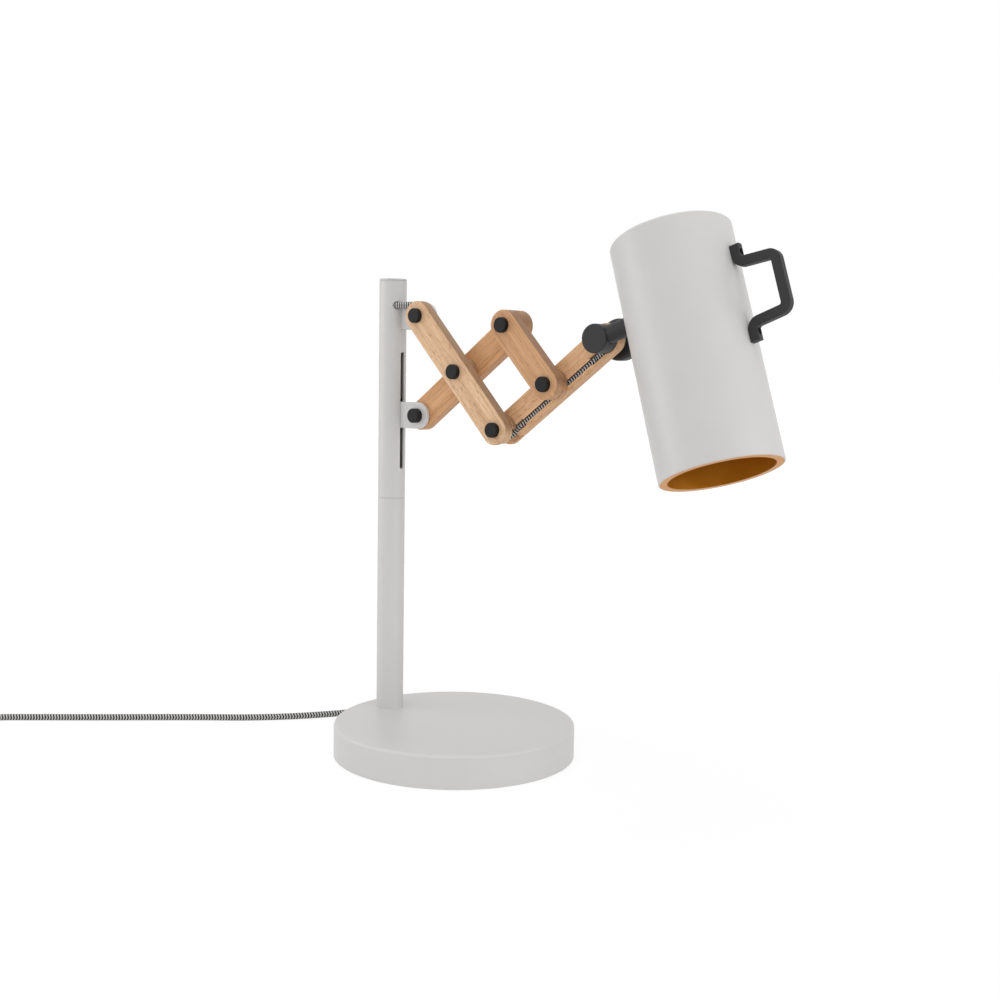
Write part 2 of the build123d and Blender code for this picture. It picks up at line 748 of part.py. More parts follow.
# Shade shell: a closed top, an open rim, the neck's hole and the handle's screw holes
shade_length = shade_above_neck + shade_below_neck
screw_depths = [handle_top_end + handle_screw_inset, handle_low_end - handle_screw_inset]
screw_planes = [
    Plane(shade_origin + shade_up * (shade_above_neck - depth), x_dir=shade_up, z_dir=neck_dir)
    for depth in screw_depths
]
with BuildPart() as shade_shell:
    with BuildSketch(shade_level(shade_length)):
        Circle(shade_radius)
    extrude(amount=shade_length)
    fillet(shade_shell.faces().sort_by(shade_axis)[-1].edges(), shade_top_round)
    with BuildSketch(shade_level(shade_length)):
        Circle(shade_bore)
    extrude(amount=shade_length - shade_wall, mode=Mode.SUBTRACT)
    fillet(shade_shell.faces().sort_by(shade_axis)[0].outer_wire().edges(), rim_round)
    with BuildSketch(neck_plane.offset(stub_shoulder)):
        Circle(stub_thread_diameter / 2 + running_fit)
    extrude(amount=shade_radius / 2, mode=Mode.SUBTRACT)
    for screw_plane in screw_planes:
        with BuildSketch(screw_plane):
            Circle(handle_screw_diameter / 2 + seat_fit)
        extrude(amount=shade_diameter, mode=Mode.SUBTRACT)
save("shade_shell", shade_shell)

# Reflector inside the shade, with the wide rim that shows from below
liner_radius = liner_diameter / 2
with BuildPart() as shade_liner:
    with BuildSketch(shade_level(shade_length)):
        Circle(shade_bore - seat_fit)
    extrude(amount=liner_flange)
    with BuildSketch(shade_level(shade_length)):
        Circle(liner_radius + liner_wall)
    extrude(amount=liner_height)
    with BuildSketch(shade_level(shade_length - liner_height + liner_flange)):
        Circle(shade_bore - seat_fit)
    extrude(amount=liner_flange)
    with BuildSketch(shade_level(shade_length)):
        Circle(liner_radius)
    extrude(amount=liner_height, mode=Mode.SUBTRACT)
save("shade_liner", shade_liner)

# Handle: one bent flat bar with a foot at each end, opposite the neck
foot_centre = shade_radius + handle_thickness / 2 + seat_fit
grip_centre = shade_radius + handle_reach - handle_thickness / 2
handle_line = [
    (foot_centre, shade_above_neck - handle_top_end),
    (foot_centre, shade_above_neck - handle_top_arm),
    (grip_centre, shade_above_neck - handle_top_corner),
    (grip_centre, shade_above_neck - handle_low_corner),
    (foot_centre, shade_above_neck - handle_low_arm),
    (foot_centre, shade_above_neck - handle_low_end),
]
with BuildPart() as shade_handle:
    with BuildSketch(handle_plane.offset(-handle_width / 2)):
        with BuildLine():
            FilletPolyline(*handle_line, radius=handle_bend)
        trace(line_width=handle_thickness)
    extrude(amount=handle_width)
    flat_sides = shade_handle.faces().filter_by(Axis(shade_origin, handle_plane.z_dir))
    fillet(flat_sides.edges(), handle_edge_round)
    for screw_plane in screw_planes:
        with BuildSketch(screw_plane.offset(foot_centre + handle_thickness / 2 - handle_screw_head_depth)):
            Circle(handle_screw_head / 2 + seat_fit)
        extrude(amount=handle_thickness, mode=Mode.SUBTRACT)
        with BuildSketch(screw_plane.offset(shade_bore)):
            Circle(handle_screw_diameter / 2 + seat_fit)
        extrude(amount=handle_thickness + shade_wall, mode=Mode.SUBTRACT)
save("shade_handle", shade_handle)

head_floor = foot_centre + handle_thickness / 2 - handle_screw_head_depth
with BuildPart() as handle_screws:
    for screw_plane in screw_planes:
        with BuildSketch(screw_plane.offset(head_floor)):
            Circle(handle_screw_head / 2)
        extrude(amount=handle_screw_head_depth / 2)
        with BuildSketch(screw_plane.offset(shade_bore - handle_screw_inside)):
            Circle(handle_screw_diameter / 2)
        extrude(amount=head_floor - shade_bore + handle_screw_inside)
save("handle_screws", handle_screws)

# Lampholder on a plate across the shade, with its nipple, nut and bulb
holder_top = holder_plate_depth + holder_plate_thickness
with BuildPart() as holder_plate:
    with BuildSketch(shade_level(holder_top)):
        Circle(shade_bore - seat_fit)
        Circle(holder_nipple_diameter / 2 + seat_fit, mode=Mode.SUBTRACT)
    extrude(amount=holder_plate_thickness)
save("holder_plate", holder_plate)

with BuildPart() as holder_nipple:
    with BuildSketch(shade_level(holder_top + holder_dome_height / 2)):
        Circle(holder_nipple_diameter / 2)
        Circle(holder_nipple_bore / 2, mode=Mode.SUBTRACT)
    extrude(amount=holder_dome_height / 2 + holder_plate_thickness + holder_nut_height)
save("holder_nipple", holder_nipple)

with BuildPart() as holder_nut:
    with BuildSketch(shade_level(holder_plate_depth)):
        RegularPolygon(holder_nut_flats / 2, 6, major_radius=False)
        Circle(holder_nipple_diameter / 2 + seat_fit, mode=Mode.SUBTRACT)
    extrude(amount=holder_nut_height)
save("holder_nut", holder_nut)

dome_floor = holder_top + holder_dome_height
with BuildPart() as holder_dome:
    with BuildSketch(shade_level(dome_floor)):
        Circle(holder_diameter / 2)
    extrude(amount=holder_dome_height)
    fillet(holder_dome.faces().sort_by(shade_axis)[-1].edges(), holder_wall)
    with BuildSketch(shade_level(dome_floor)):
        Circle(holder_diameter / 2 - holder_wall)
    extrude(amount=holder_dome_height / 2, mode=Mode.SUBTRACT)
    with BuildSketch(shade_level(dome_floor)):
        Circle(holder_nipple_diameter / 2 + seat_fit)
    extrude(amount=holder_dome_height, mode=Mode.SUBTRACT)
save("holder_dome", holder_dome)

skirt_floor = dome_floor + holder_skirt_height
holder_mouth = neck_length - holder_diameter / 2
with BuildPart() as holder_skirt:
    with BuildSketch(shade_level(skirt_floor)):
        Circle(holder_diameter / 2)
    extrude(amount=holder_skirt_height)
    with BuildSketch(shade_level(skirt_floor)):
        Circle(bulb_cap_diameter / 2 + seat_fit)
    extrude(amount=bulb_cap_height, mode=Mode.SUBTRACT)
    with BuildSketch(neck_plane.offset(stub_end)):
        Circle(cord_bore / 2)
    extrude(amount=holder_mouth - stub_end + holder_cord_depth + body_gap, mode=Mode.SUBTRACT)
save("holder_skirt", holder_skirt)

with BuildPart() as bulb_cap:
    with BuildSketch(shade_level(skirt_floor)):
        Circle(bulb_cap_diameter / 2)
    extrude(amount=bulb_cap_height - body_gap)
save("bulb_cap", bulb_cap)

bulb_radius = bulb_diameter / 2
bulb_centre = skirt_floor + bulb_length - bulb_radius
with BuildPart() as bulb_glass_shell:
    with BuildSketch(shade_level(bulb_centre)):
        Circle(bulb_cap_diameter / 2)
    extrude(amount=bulb_centre - skirt_floor)
    with Locations(shade_level(bulb_centre)):
        Sphere(bulb_radius)
        Sphere(bulb_radius - bulb_glass, mode=Mode.SUBTRACT)
    with BuildSketch(shade_level(bulb_centre)):
        Circle(bulb_cap_diameter / 2 - bulb_glass)
    extrude(amount=bulb_centre - skirt_floor, mode=Mode.SUBTRACT)
save("bulb_glass", bulb_glass_shell)

# Cord inside the foot and the pole, up to its outlet
cord_rise_x = pole_x - pole_bore + cord_radius + body_gap
joiner_x = pole_x - joiner_bore / 2 + cord_radius + body_gap
relief_inner = relief_plane.from_local_coords((base_radius - base_wall - relief_neck, 0, relief_z))
relief_bend = relief_plane.from_local_coords((base_radius - base_wall - relief_neck - foot_bend, 0, relief_z))
outlet_point = (pole_x + pole_bore, outlet_y, outlet_height)


def held_cord(name, points, radii):
    """Cord that the lamp holds, along straight runs and the arcs that its passage leaves room for."""
    with BuildPart() as tube:
        with BuildLine() as route:
            if radii:
                FilletPolyline(*points, radius=radii)
            else:
                Polyline(*points)
        with BuildSketch(Plane(route.line @ 0, z_dir=route.line % 0)):
            Circle(cord_radius)
        sweep(path=route.wires()[0])
    save(name, tube)


held_cord("pole_cord", [
    tuple(relief_inner),
    tuple(relief_bend),
    (pole_x, 0, relief_z),
    (pole_x, 0, base_height + foot_plug_height + foot_run),
    (joiner_x, 0, pole_seam - joiner_below - joiner_run),
    (joiner_x, 0, pole_seam + joiner_above),
    (cord_rise_x, 0, pole_seam + joiner_above + joiner_sway),
    (cord_rise_x, 0, outlet_height - outlet_run),
    (pole_x - body_gap, outlet_y, outlet_height),
    outlet_point,
], [
    foot_bend_radius, pole_bend_radius, pole_sway_radius, pole_sway_radius,
    joiner_sway_radius, joiner_sway_radius, outlet_sway_radius, outlet_bend_radius,
])

# Cord on the arm: each stretch lies in its bar's groove, and a short bend crosses each pivot
upper_depth = outlet_y
lower_depth = bar_face + groove_lip + cord_radius + cord_gap
cross_share = (bend_start - upper_cross_from) / (upper_cross_to - upper_cross_from)
upper_start = on_bar(fixed_pivot, -link_drop, bend_start, groove_offset * (1 - 2 * cross_share))
upper_end = on_bar(low_pivot, -link_drop, -elbow_start, -groove_offset)
lower_start = on_bar(low_pivot, link_rise, elbow_start, -groove_offset)
lower_end = on_bar(neck_pivot, link_rise, -bend_start, -groove_offset)
held_cord("cord_to_arm", [
    outlet_point,
    at_depth(upper_line[1], upper_depth),
    at_depth(upper_line[2], upper_depth),
    at_depth(upper_start, upper_depth),
], groove_bend)
held_cord("upper_cord", [
    at_depth(upper_start, upper_depth),
    at_depth(upper_line[3], upper_depth),
    at_depth(upper_end, upper_depth),
], groove_bend)
elbow_points = [
    at_depth(upper_end, upper_depth),
    at_depth(on_bar(low_pivot, -link_drop, -elbow_turn, -groove_offset), upper_depth),
    at_depth(step(low_pivot, elbow_pass, elbow_pass_angle), 0),
    at_depth(on_bar(low_pivot, link_rise, elbow_turn, -groove_offset), lower_depth),
    at_depth(lower_start, lower_depth),
]
held_cord("elbow_cord", elbow_points, corner_radii(elbow_points))
held_cord("lower_cord", [at_depth(lower_start, lower_depth), at_depth(lower_end, lower_depth)], None)

# Cord at the neck: forward through the barrel under the clamp, then along the stub to the lampholder
barrel_turn = step(neck_pivot, barrel_pass, neck_angle - barrel_pass_angle)
neck_points = [
    at_depth(lower_end, lower_depth),
    at_depth(on_bar(neck_pivot, link_rise, -barrel_entry, -groove_offset), lower_depth),
    at_depth(barrel_turn, neck_depth),
    tuple(neck_origin + neck_dir * (stub_start + stub_flare_depth - stub_entry)),
    tuple(neck_origin + neck_dir * (stub_start + stub_flare_depth + stub_run)),
]
held_cord("neck_cord", neck_points, corner_radii(neck_points))
held_cord("head_cord", [neck_points[-1], tuple(neck_origin + neck_dir * (holder_mouth + holder_cord_depth))], None)

# Strain relief at the back of the foot
with BuildPart() as cord_relief:
    with BuildSketch(relief_face.offset(-base_wall - relief_neck)):
        Circle(relief_root_diameter / 2 - relief_flange)
    extrude(amount=base_wall + relief_neck)
    with BuildSketch(relief_face):
        Circle(relief_root_diameter / 2)
    with BuildSketch(relief_face.offset(relief_length)):
        Circle(relief_tip_diameter / 2)
    loft()
    with BuildSketch(relief_face.offset(-base_wall - relief_neck)):
        Circle(cord_radius)
    extrude(amount=base_wall + relief_neck + relief_length, mode=Mode.SUBTRACT)
save("cord_relief", cord_relief)

# Mains cord on the floor: from the strain relief, round behind the foot, away and back to the switch
switch_z = switch_height / 2
switch_dir = Vector(math.cos(math.radians(switch_heading)), math.sin(math.radians(switch_heading)), 0)
relief_mouth = relief_plane.from_local_coords((base_radius + relief_length, 0, relief_z))
mains_points = [
    tuple(relief_mouth),
    tuple(relief_plane.from_local_coords((base_radius + relief_length + relief_run, 0, relief_z))),
    (-127.2, 35.6, 6.0),
    (-136.6, 32.3, 4.5),
    (-144.5, 26.1, 3.3),
    (-154.6, 11.7, floor_line),
    (-170.9, -12.5, floor_line),
    (-188.9, -33.3, floor_line),
    (-208.0, -52.2, floor_line),
    (-229.5, -69.2, floor_line),
    (-262.0, -97.5, floor_line),
    (-300.0, -131.5, floor_line),
    (-344.0, -169.5, floor_line),
    (-371.5, -193.3, floor_line),
    (-377.9, -209.0, floor_line),
    (-376.5, -225.9, floor_line),
    (-367.5, -240.3, floor_line),
    (-352.0, -249.5, 3.9),
    (-334.9, -260.0, switch_z),
    (-322.9, -267.3, switch_z),
]
cord_tube("mains_cord", mains_points)

# Switch on the cord: two halves of a case and a rocker
switch_near = Vector(*mains_points[-1])
switch_centre = Vector(switch_near.X, switch_near.Y, 0) + switch_dir * (switch_length / 2)
switch_floor = Plane(switch_centre, x_dir=switch_dir, z_dir=(0, 0, 1))
switch_end = Plane(switch_near, x_dir=(0, 0, 1), z_dir=switch_dir)
rocker_axis_z = switch_height - rocker_pin_diameter
rocker_plane = Plane(switch_centre, x_dir=switch_dir, z_dir=-switch_floor.y_dir)


with BuildPart() as switch_base:
    with BuildSketch(switch_floor):
        RectangleRounded(switch_length, switch_width, switch_corner)
    extrude(amount=switch_z)
    fillet(switch_base.faces().sort_by(Axis.Z)[0].edges(), switch_edge_round)
    with BuildSketch(switch_end):
        Circle(cord_radius)
    extrude(amount=switch_length, mode=Mode.SUBTRACT)
save("switch_base", switch_base)

with BuildPart() as switch_cover:
    with BuildSketch(switch_floor.offset(switch_z)):
        RectangleRounded(switch_length, switch_width, switch_corner)
    extrude(amount=switch_height - switch_z)
    fillet(switch_cover.faces().sort_by(Axis.Z)[-1].edges(), switch_edge_round)
    with BuildSketch(switch_end):
        Circle(cord_radius)
    extrude(amount=switch_length, mode=Mode.SUBTRACT)
    with BuildSketch(switch_floor.offset(switch_z + rocker_floor)):
        Rectangle(rocker_length + 2 * rocker_end_gap, rocker_width + 2 * body_gap)
    extrude(amount=switch_height, mode=Mode.SUBTRACT)
    with BuildSketch(rocker_plane.offset(-rocker_width / 2 - rocker_proud)):
        with Locations((0, rocker_axis_z)):
            Circle(rocker_pin_diameter / 2 + running_fit)
    extrude(amount=rocker_width + 2 * rocker_proud, mode=Mode.SUBTRACT)
save("switch_cover", switch_cover)

half_rocker = rocker_length / 2
with BuildPart() as switch_rocker:
    with BuildSketch(rocker_plane.offset(-rocker_width / 2)):
        with BuildLine():
            Polyline(
                (-half_rocker, rocker_axis_z + rocker_belly),
                (0, rocker_axis_z - rocker_pin_diameter),
                (half_rocker, rocker_axis_z + rocker_belly),
                (half_rocker, switch_height + rocker_proud),
                (0, switch_height + rocker_middle_proud),
                (-half_rocker, switch_height - rocker_low),
                close=True,
            )
        make_face()
    extrude(amount=rocker_width)
    with BuildSketch(rocker_plane.offset(-rocker_width / 2 - rocker_proud + body_gap)):
        with Locations((0, rocker_axis_z)):
            Circle(rocker_pin_diameter / 2)
    extrude(amount=rocker_width + 2 * rocker_proud - 2 * body_gap)
save("switch_rocker", switch_rocker)

# Coil of spare cord: one tube that winds inwards on the floor, climbs and winds outwards on top
coil_start = switch_near + switch_dir * switch_length
outer_radius = coil_inner_radius + coil_turns * coil_pitch
coil_frame = Plane(
    Vector(coil_start.X, coil_start.Y, 0) + switch_dir * coil_lead - switch_floor.y_dir * outer_radius,
    x_dir=switch_dir, z_dir=(0, 0, 1),
)
top_line = floor_line + coil_layer_rise


def coil_crossings():
    """Where the spiral crosses the coil's local y axis: (y, z) for each half turn."""
    half_turns = 2 * coil_turns
    inward = [((-1) ** k * (outer_radius - k * coil_pitch / 2), floor_line) for k in range(half_turns + 1)]
    last = abs(inward[-1][0])
    side = -1 if inward[-1][0] > 0 else 1
    outward = [(side * (-1) ** k * (last + k * coil_pitch / 2), top_line) for k in range(half_turns)]
    return inward + outward


def coil_arcs():
    """Half turns as pairs of tangent arcs: start, joint, end and the tangent at each start."""
    arcs = []
    crossings = coil_crossings()
    heading = 1
    for (y_from, z_from), (y_to, z_to) in zip(crossings, crossings[1:]):
        reach = math.hypot(y_to - y_from, z_to - z_from) / 2
        joint = (heading * reach, (y_from + y_to) / 2, (z_from + z_to) / 2)
        arcs.append(((0, y_from, z_from), joint, (heading, 0, 0)))
        arcs.append((joint, (0, y_to, z_to), (0, y_to - y_from, z_to - z_from)))
        heading = -heading
    return arcs, heading


def to_world(point):
    return coil_frame.from_local_coords(point)


def least_self_gap(wire):
    """Smallest clear distance between stretches of the coil that aren't neighbours along it."""
    count = int(wire.length / 2)
    points = [wire @ (k / count) for k in range(count + 1)]
    apart = int(2.5 * cord_diameter / (wire.length / count)) + 1
    gap = min(
        (points[j] - points[i]).length
        for i in range(len(points)) for j in range(i + apart, len(points))
    )
    return gap - cord_diameter


half_arcs, out_heading = coil_arcs()
coil_exit = half_arcs[-1][1]
lead_points = [
    (-coil_lead, outer_radius, switch_z),
    (-coil_lead + coil_lead_level, outer_radius, switch_z),
    (-coil_lead + coil_lead_level + coil_lead_drop, outer_radius, floor_line),
    (0, outer_radius, floor_line),
]
plug_mouth = to_world((out_heading * plug_lead, coil_exit[1], top_line))
plug_height = 2 * top_line
lead_world = [to_world(point) for point in lead_points]
with BuildPart() as cord_coil:
    with BuildLine() as coil_route:
        FilletPolyline(*lead_world, radius=corner_radii([tuple(point) for point in lead_world]))
        for arc_from, arc_to, tangent in half_arcs:
            world_tangent = to_world(tangent) - coil_frame.origin
            TangentArc(to_world(arc_from), to_world(arc_to), tangent=world_tangent)
        Line(to_world(coil_exit), plug_mouth)
    coil_wire = coil_route.wires()[0]
    with BuildSketch(Plane(lead_world[0], z_dir=switch_dir)):
        Circle(cord_radius)
    sweep(path=coil_wire)
print("cord_coil volume / expected",
      round(cord_coil.part.volume / (math.pi * cord_radius**2 * coil_wire.length), 4),
      "length", round(coil_wire.length, 1), "least gap", round(least_self_gap(coil_wire), 2))
save("cord_coil", cord_coil)

# Flat two-pin plug at the cord's end
plug_axis = Plane(plug_mouth, x_dir=(0, 0, 1), z_dir=switch_dir * out_heading)
with BuildPart() as plug_body:
    with BuildSketch(plug_axis):
        RectangleRounded(plug_height, plug_waist, plug_round)
    with BuildSketch(plug_axis.offset(plug_length)):
        RectangleRounded(plug_height, plug_width + plug_pin_pitch - plug_pin_diameter, plug_round)
    loft()
save("plug_body", plug_body)

with BuildPart() as plug_pins:
    with BuildSketch(plug_axis.offset(plug_length)):
        with Locations((0, plug_pin_pitch / 2), (0, -plug_pin_pitch / 2)):
            Circle(plug_pin_diameter / 2)
    extrude(amount=plug_pin_length)
save("plug_pins", plug_pins)
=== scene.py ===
"""Looks of the scissor-arm table lamp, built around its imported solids. Metres, +Z up."""
import json
import math

import bpy
from mathutils import Matrix, Vector


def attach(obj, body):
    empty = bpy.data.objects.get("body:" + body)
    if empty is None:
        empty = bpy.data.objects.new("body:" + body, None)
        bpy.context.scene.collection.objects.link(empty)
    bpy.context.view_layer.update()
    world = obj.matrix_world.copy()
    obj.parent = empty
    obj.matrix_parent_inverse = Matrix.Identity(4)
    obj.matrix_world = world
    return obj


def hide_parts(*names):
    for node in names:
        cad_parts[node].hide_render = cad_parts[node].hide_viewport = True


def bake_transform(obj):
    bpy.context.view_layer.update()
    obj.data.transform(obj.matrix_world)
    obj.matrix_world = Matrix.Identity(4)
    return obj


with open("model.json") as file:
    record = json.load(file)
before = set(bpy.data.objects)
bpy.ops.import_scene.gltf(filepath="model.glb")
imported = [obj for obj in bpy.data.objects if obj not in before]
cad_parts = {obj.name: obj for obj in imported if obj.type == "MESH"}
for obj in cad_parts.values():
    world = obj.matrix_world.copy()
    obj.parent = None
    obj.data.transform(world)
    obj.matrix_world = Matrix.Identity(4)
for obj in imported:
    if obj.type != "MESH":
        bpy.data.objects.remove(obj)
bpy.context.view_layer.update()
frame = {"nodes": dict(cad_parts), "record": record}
nodes = frame["nodes"]
scene = bpy.context.scene


# Studio

# Camera at the photograph's viewpoint: place, view direction, sensor and lens in millimetres, roll in
# degrees, and nearest distance seen
CAMERA_PLACE = (0.6849, -0.8322, 0.3243)
CAMERA_VIEW = (-0.6069, 0.7881, -0.1030)
CAMERA_SENSOR = 36.0
CAMERA_LENS = 47.54
CAMERA_ROLL = 0.97
CAMERA_NEAR = 0.01

# Level of the room all round and on the viewer's side, which is brighter, where that side is, and the
# range over which one goes over into the other
FILL = 0.40
FILL_FRONT = 1.14
FRONT_SIDE = (0.61, -0.79, 0.0)
FRONT_FADE = (0.25, 0.95)

# Soft boxes: place, target, side and power in watts
SOFT_BOXES = {
    "left_box": ((-1.9, -1.3, 0.4), (0.0, 0.0, 0.2), 1.4, 15.0),
    "right_box": ((1.5, 0.2, 0.3), (0.2, 0.0, 0.25), 1.0, 5.5),
    "top_box": ((0.0, -0.1, 2.2), (0.0, 0.0, 0.2), 1.5, 18.0),
}

# Floor: half its side, its paper's grey, the level of its own white, the share of that white near the lamp,
# and the distances over which it takes over
FLOOR_REACH = 30.0
FLOOR_GREY = 0.92
FLOOR_GLOW = 1.045
FLOOR_SHARE = 0.82
FLOOR_FADE = (0.35, 1.0)


def photo_camera():
    """Camera at the photograph's viewpoint, for a square frame."""
    lens = bpy.data.cameras.new("photo_camera")
    lens.sensor_fit = "HORIZONTAL"
    lens.sensor_width = CAMERA_SENSOR
    lens.lens = CAMERA_LENS
    lens.clip_start = CAMERA_NEAR
    forward = Vector(CAMERA_VIEW).normalized()
    level = forward.cross(Vector((0, 0, 1))).normalized()
    above = level.cross(forward)
    roll = math.radians(CAMERA_ROLL)
    right = level * math.cos(roll) + above * math.sin(roll)
    top = above * math.cos(roll) - level * math.sin(roll)
    camera = bpy.data.objects.new("photo_camera", lens)
    scene.collection.objects.link(camera)
    turned = Matrix((right, top, -forward)).transposed().to_4x4()
    camera.matrix_world = Matrix.Translation(CAMERA_PLACE) @ turned
    scene.camera = camera


def soft_lamp(name, place, target, size, power):
    """Square soft box that looks at a target."""
    data = bpy.data.lights.new(name, "AREA")
    data.shape = "SQUARE"
    data.size = size
    data.energy = power
    lamp = bpy.data.objects.new(name, data)
    scene.collection.objects.link(lamp)
    lamp.location = place
    lamp.visible_camera = False
    lamp.rotation_euler = (Vector(target) - Vector(place)).to_track_quat("-Z", "Y").to_euler()


def seen_directly(tree):
    """Value that is 1 for camera, glossy and transmission rays."""
    path = tree.nodes.new("ShaderNodeLightPath")
    glossy = math_node(tree, "MAXIMUM", path.outputs["Is Camera Ray"], path.outputs["Is Glossy Ray"])
    return math_node(tree, "MAXIMUM", glossy, path.outputs["Is Transmission Ray"])


def white_room():
    """World that looks white and lights the lamp more from the viewer's side."""
    world = bpy.data.worlds.new("studio_white")
    scene.world = world
    world.use_nodes = True
    tree = world.node_tree
    tree.nodes.clear()
    fill = tree.nodes.new("ShaderNodeBackground")
    fill.inputs["Color"].default_value = (1, 1, 1, 1)
    toward = tree.nodes.new("ShaderNodeVectorMath")
    toward.operation = "DOT_PRODUCT"
    toward.inputs[1].default_value = FRONT_SIDE
    tree.links.new(tree.nodes.new("ShaderNodeTexCoord").outputs["Generated"], toward.inputs[0])
    level = spread(tree, toward.outputs["Value"], *FRONT_FADE, FILL, FILL_FRONT)
    tree.links.new(level, fill.inputs["Strength"])
    white = tree.nodes.new("ShaderNodeBackground")
    white.inputs["Color"].default_value = (1, 1, 1, 1)
    white.inputs["Strength"].default_value = 1.0
    pick = tree.nodes.new("ShaderNodeMixShader")
    out = tree.nodes.new("ShaderNodeOutputWorld")
    tree.links.new(seen_directly(tree), pick.inputs[0])
    tree.links.new(fill.outputs[0], pick.inputs[1])
    tree.links.new(white.outputs[0], pick.inputs[2])
    tree.links.new(pick.outputs[0], out.inputs["Surface"])


def white_floor():
    """Pale floor that keeps a faint shadow near the lamp and is plain white farther off."""
    paper = bpy.data.materials.new("pale_paper")
    paper.use_nodes = True
    tree = paper.node_tree
    tree.nodes.clear()
    matt = tree.nodes.new("ShaderNodeBsdfDiffuse")
    matt.inputs["Color"].default_value = (FLOOR_GREY, FLOOR_GREY, FLOOR_GREY, 1)
    glow = tree.nodes.new("ShaderNodeEmission")
    glow.inputs["Color"].default_value = (1, 1, 1, 1)
    glow.inputs["Strength"].default_value = FLOOR_GLOW
    away = tree.nodes.new("ShaderNodeVectorMath")
    away.operation = "LENGTH"
    tree.links.new(object_vector(tree), away.inputs[0])
    share = spread(tree, away.outputs["Value"], *FLOOR_FADE, FLOOR_SHARE, 1.0)
    blend = tree.nodes.new("ShaderNodeMixShader")
    out = tree.nodes.new("ShaderNodeOutputMaterial")
    tree.links.new(math_node(tree, "MULTIPLY", seen_directly(tree), share), blend.inputs[0])
    tree.links.new(matt.outputs[0], blend.inputs[1])
    tree.links.new(glow.outputs[0], blend.inputs[2])
    tree.links.new(blend.outputs[0], out.inputs["Surface"])
    mesh = bpy.data.meshes.new("studio_floor")
    corners = [(-FLOOR_REACH, -FLOOR_REACH, 0), (FLOOR_REACH, -FLOOR_REACH, 0),
               (FLOOR_REACH, FLOOR_REACH, 0), (-FLOOR_REACH, FLOOR_REACH, 0)]
    mesh.from_pydata(corners, [], [(0, 1, 2, 3)])
    mesh.materials.append(paper)
    floor = bpy.data.objects.new("studio_floor", mesh)
    scene.collection.objects.link(floor)


def studio():
    """White surroundings, floor and soft boxes."""
    white_room()
    white_floor()
    for name, values in SOFT_BOXES.items():
        soft_lamp(name, *values)
    scene.view_settings.view_transform = "Standard"


# Finishes

# Slopes of the bars in degrees, as in the part's source
BAR_DROP = 47.73
BAR_RISE = 37.5623

# Oak: scales of each noise along and across the fibres, and the share of each in the mix of light and dark
OAK_BAND = (5.0, 210.0)
OAK_FIBRE = (24.0, 1000.0)
OAK_PORE = (150.0, 1700.0)
OAK_FLAME = (16.0, 60.0)
BAND_SHARE = 0.34
FIBRE_SHARE = 0.46
FLAME_SHARE = 0.18

# Oak: how far the pores and the painted shade on the narrow faces take over, how much of that painted
# shade is left on faces turned down, and the colours of both
PORE_DEPTH = 0.62
PAINTED_SHADE_DEPTH = 0.78
UNDERSIDE_SHADE_SHARE = 0.2
PORE_COLOUR = (0.20, 0.085, 0.035)
PAINTED_SHADE_COLOUR = (0.24, 0.135, 0.076)

# Braid: zigzags round the cord, metres to a repeat, a zigzag's reach as a share of half a repeat, and the
# colours of the dark and pale yarns and of the painted shade in the gaps between the pale ones
BRAID_ROWS = 3.0
BRAID_REPEAT = 0.0025
BRAID_SLANT = 0.9
BRAID_DARK = (0.010, 0.010, 0.011)
BRAID_PALE = (0.64, 0.63, 0.61)
BRAID_GAP_SHADE = (0.20, 0.20, 0.19)


def finish(name):
    """New material with a Principled shader; returns the material, its tree and the shader."""
    material = bpy.data.materials.new(name)
    material.use_nodes = True
    tree = material.node_tree
    return material, tree, tree.nodes["Principled BSDF"]


def new_group(name, inputs, outputs):
    """Shader group with named sockets; returns its tree, input node and output node."""
    tree = bpy.data.node_groups.new(name, "ShaderNodeTree")
    for label, kind in inputs:
        tree.interface.new_socket(name=label, in_out="INPUT", socket_type=kind)
    for label, kind in outputs:
        tree.interface.new_socket(name=label, in_out="OUTPUT", socket_type=kind)
    return tree, tree.nodes.new("NodeGroupInput"), tree.nodes.new("NodeGroupOutput")


SKIN_OUTPUTS = [
    ("Colour", "NodeSocketColor"), ("Roughness", "NodeSocketFloat"), ("Height", "NodeSocketFloat"),
]


def noise(tree, vector, scale, detail=4.0, rough=0.55):
    """Noise value; the scale is a number or a socket."""
    node = tree.nodes.new("ShaderNodeTexNoise")
    node.inputs["Detail"].default_value = detail
    node.inputs["Roughness"].default_value = rough
    if isinstance(scale, (int, float)):
        node.inputs["Scale"].default_value = scale
    else:
        tree.links.new(scale, node.inputs["Scale"])
    tree.links.new(vector, node.inputs["Vector"])
    return node.outputs["Fac"]


def math_node(tree, operation, first, second=None):
    """Result of one math operation on numbers or sockets."""
    node = tree.nodes.new("ShaderNodeMath")
    node.operation = operation
    for socket, value in zip(node.inputs, (first, second)):
        if value is None:
            continue
        if isinstance(value, (int, float)):
            socket.default_value = value
        else:
            tree.links.new(value, socket)
    return node.outputs[0]


def spread(tree, value, low, high, to_low=0.0, to_high=1.0):
    """Value mapped from one range to another and held inside it."""
    node = tree.nodes.new("ShaderNodeMapRange")
    labels = ("From Min", "From Max", "To Min", "To Max")
    for label, number in zip(labels, (low, high, to_low, to_high)):
        if isinstance(number, (int, float)):
            node.inputs[label].default_value = number
        else:
            tree.links.new(number, node.inputs[label])
    tree.links.new(value, node.inputs["Value"])
    return node.outputs["Result"]


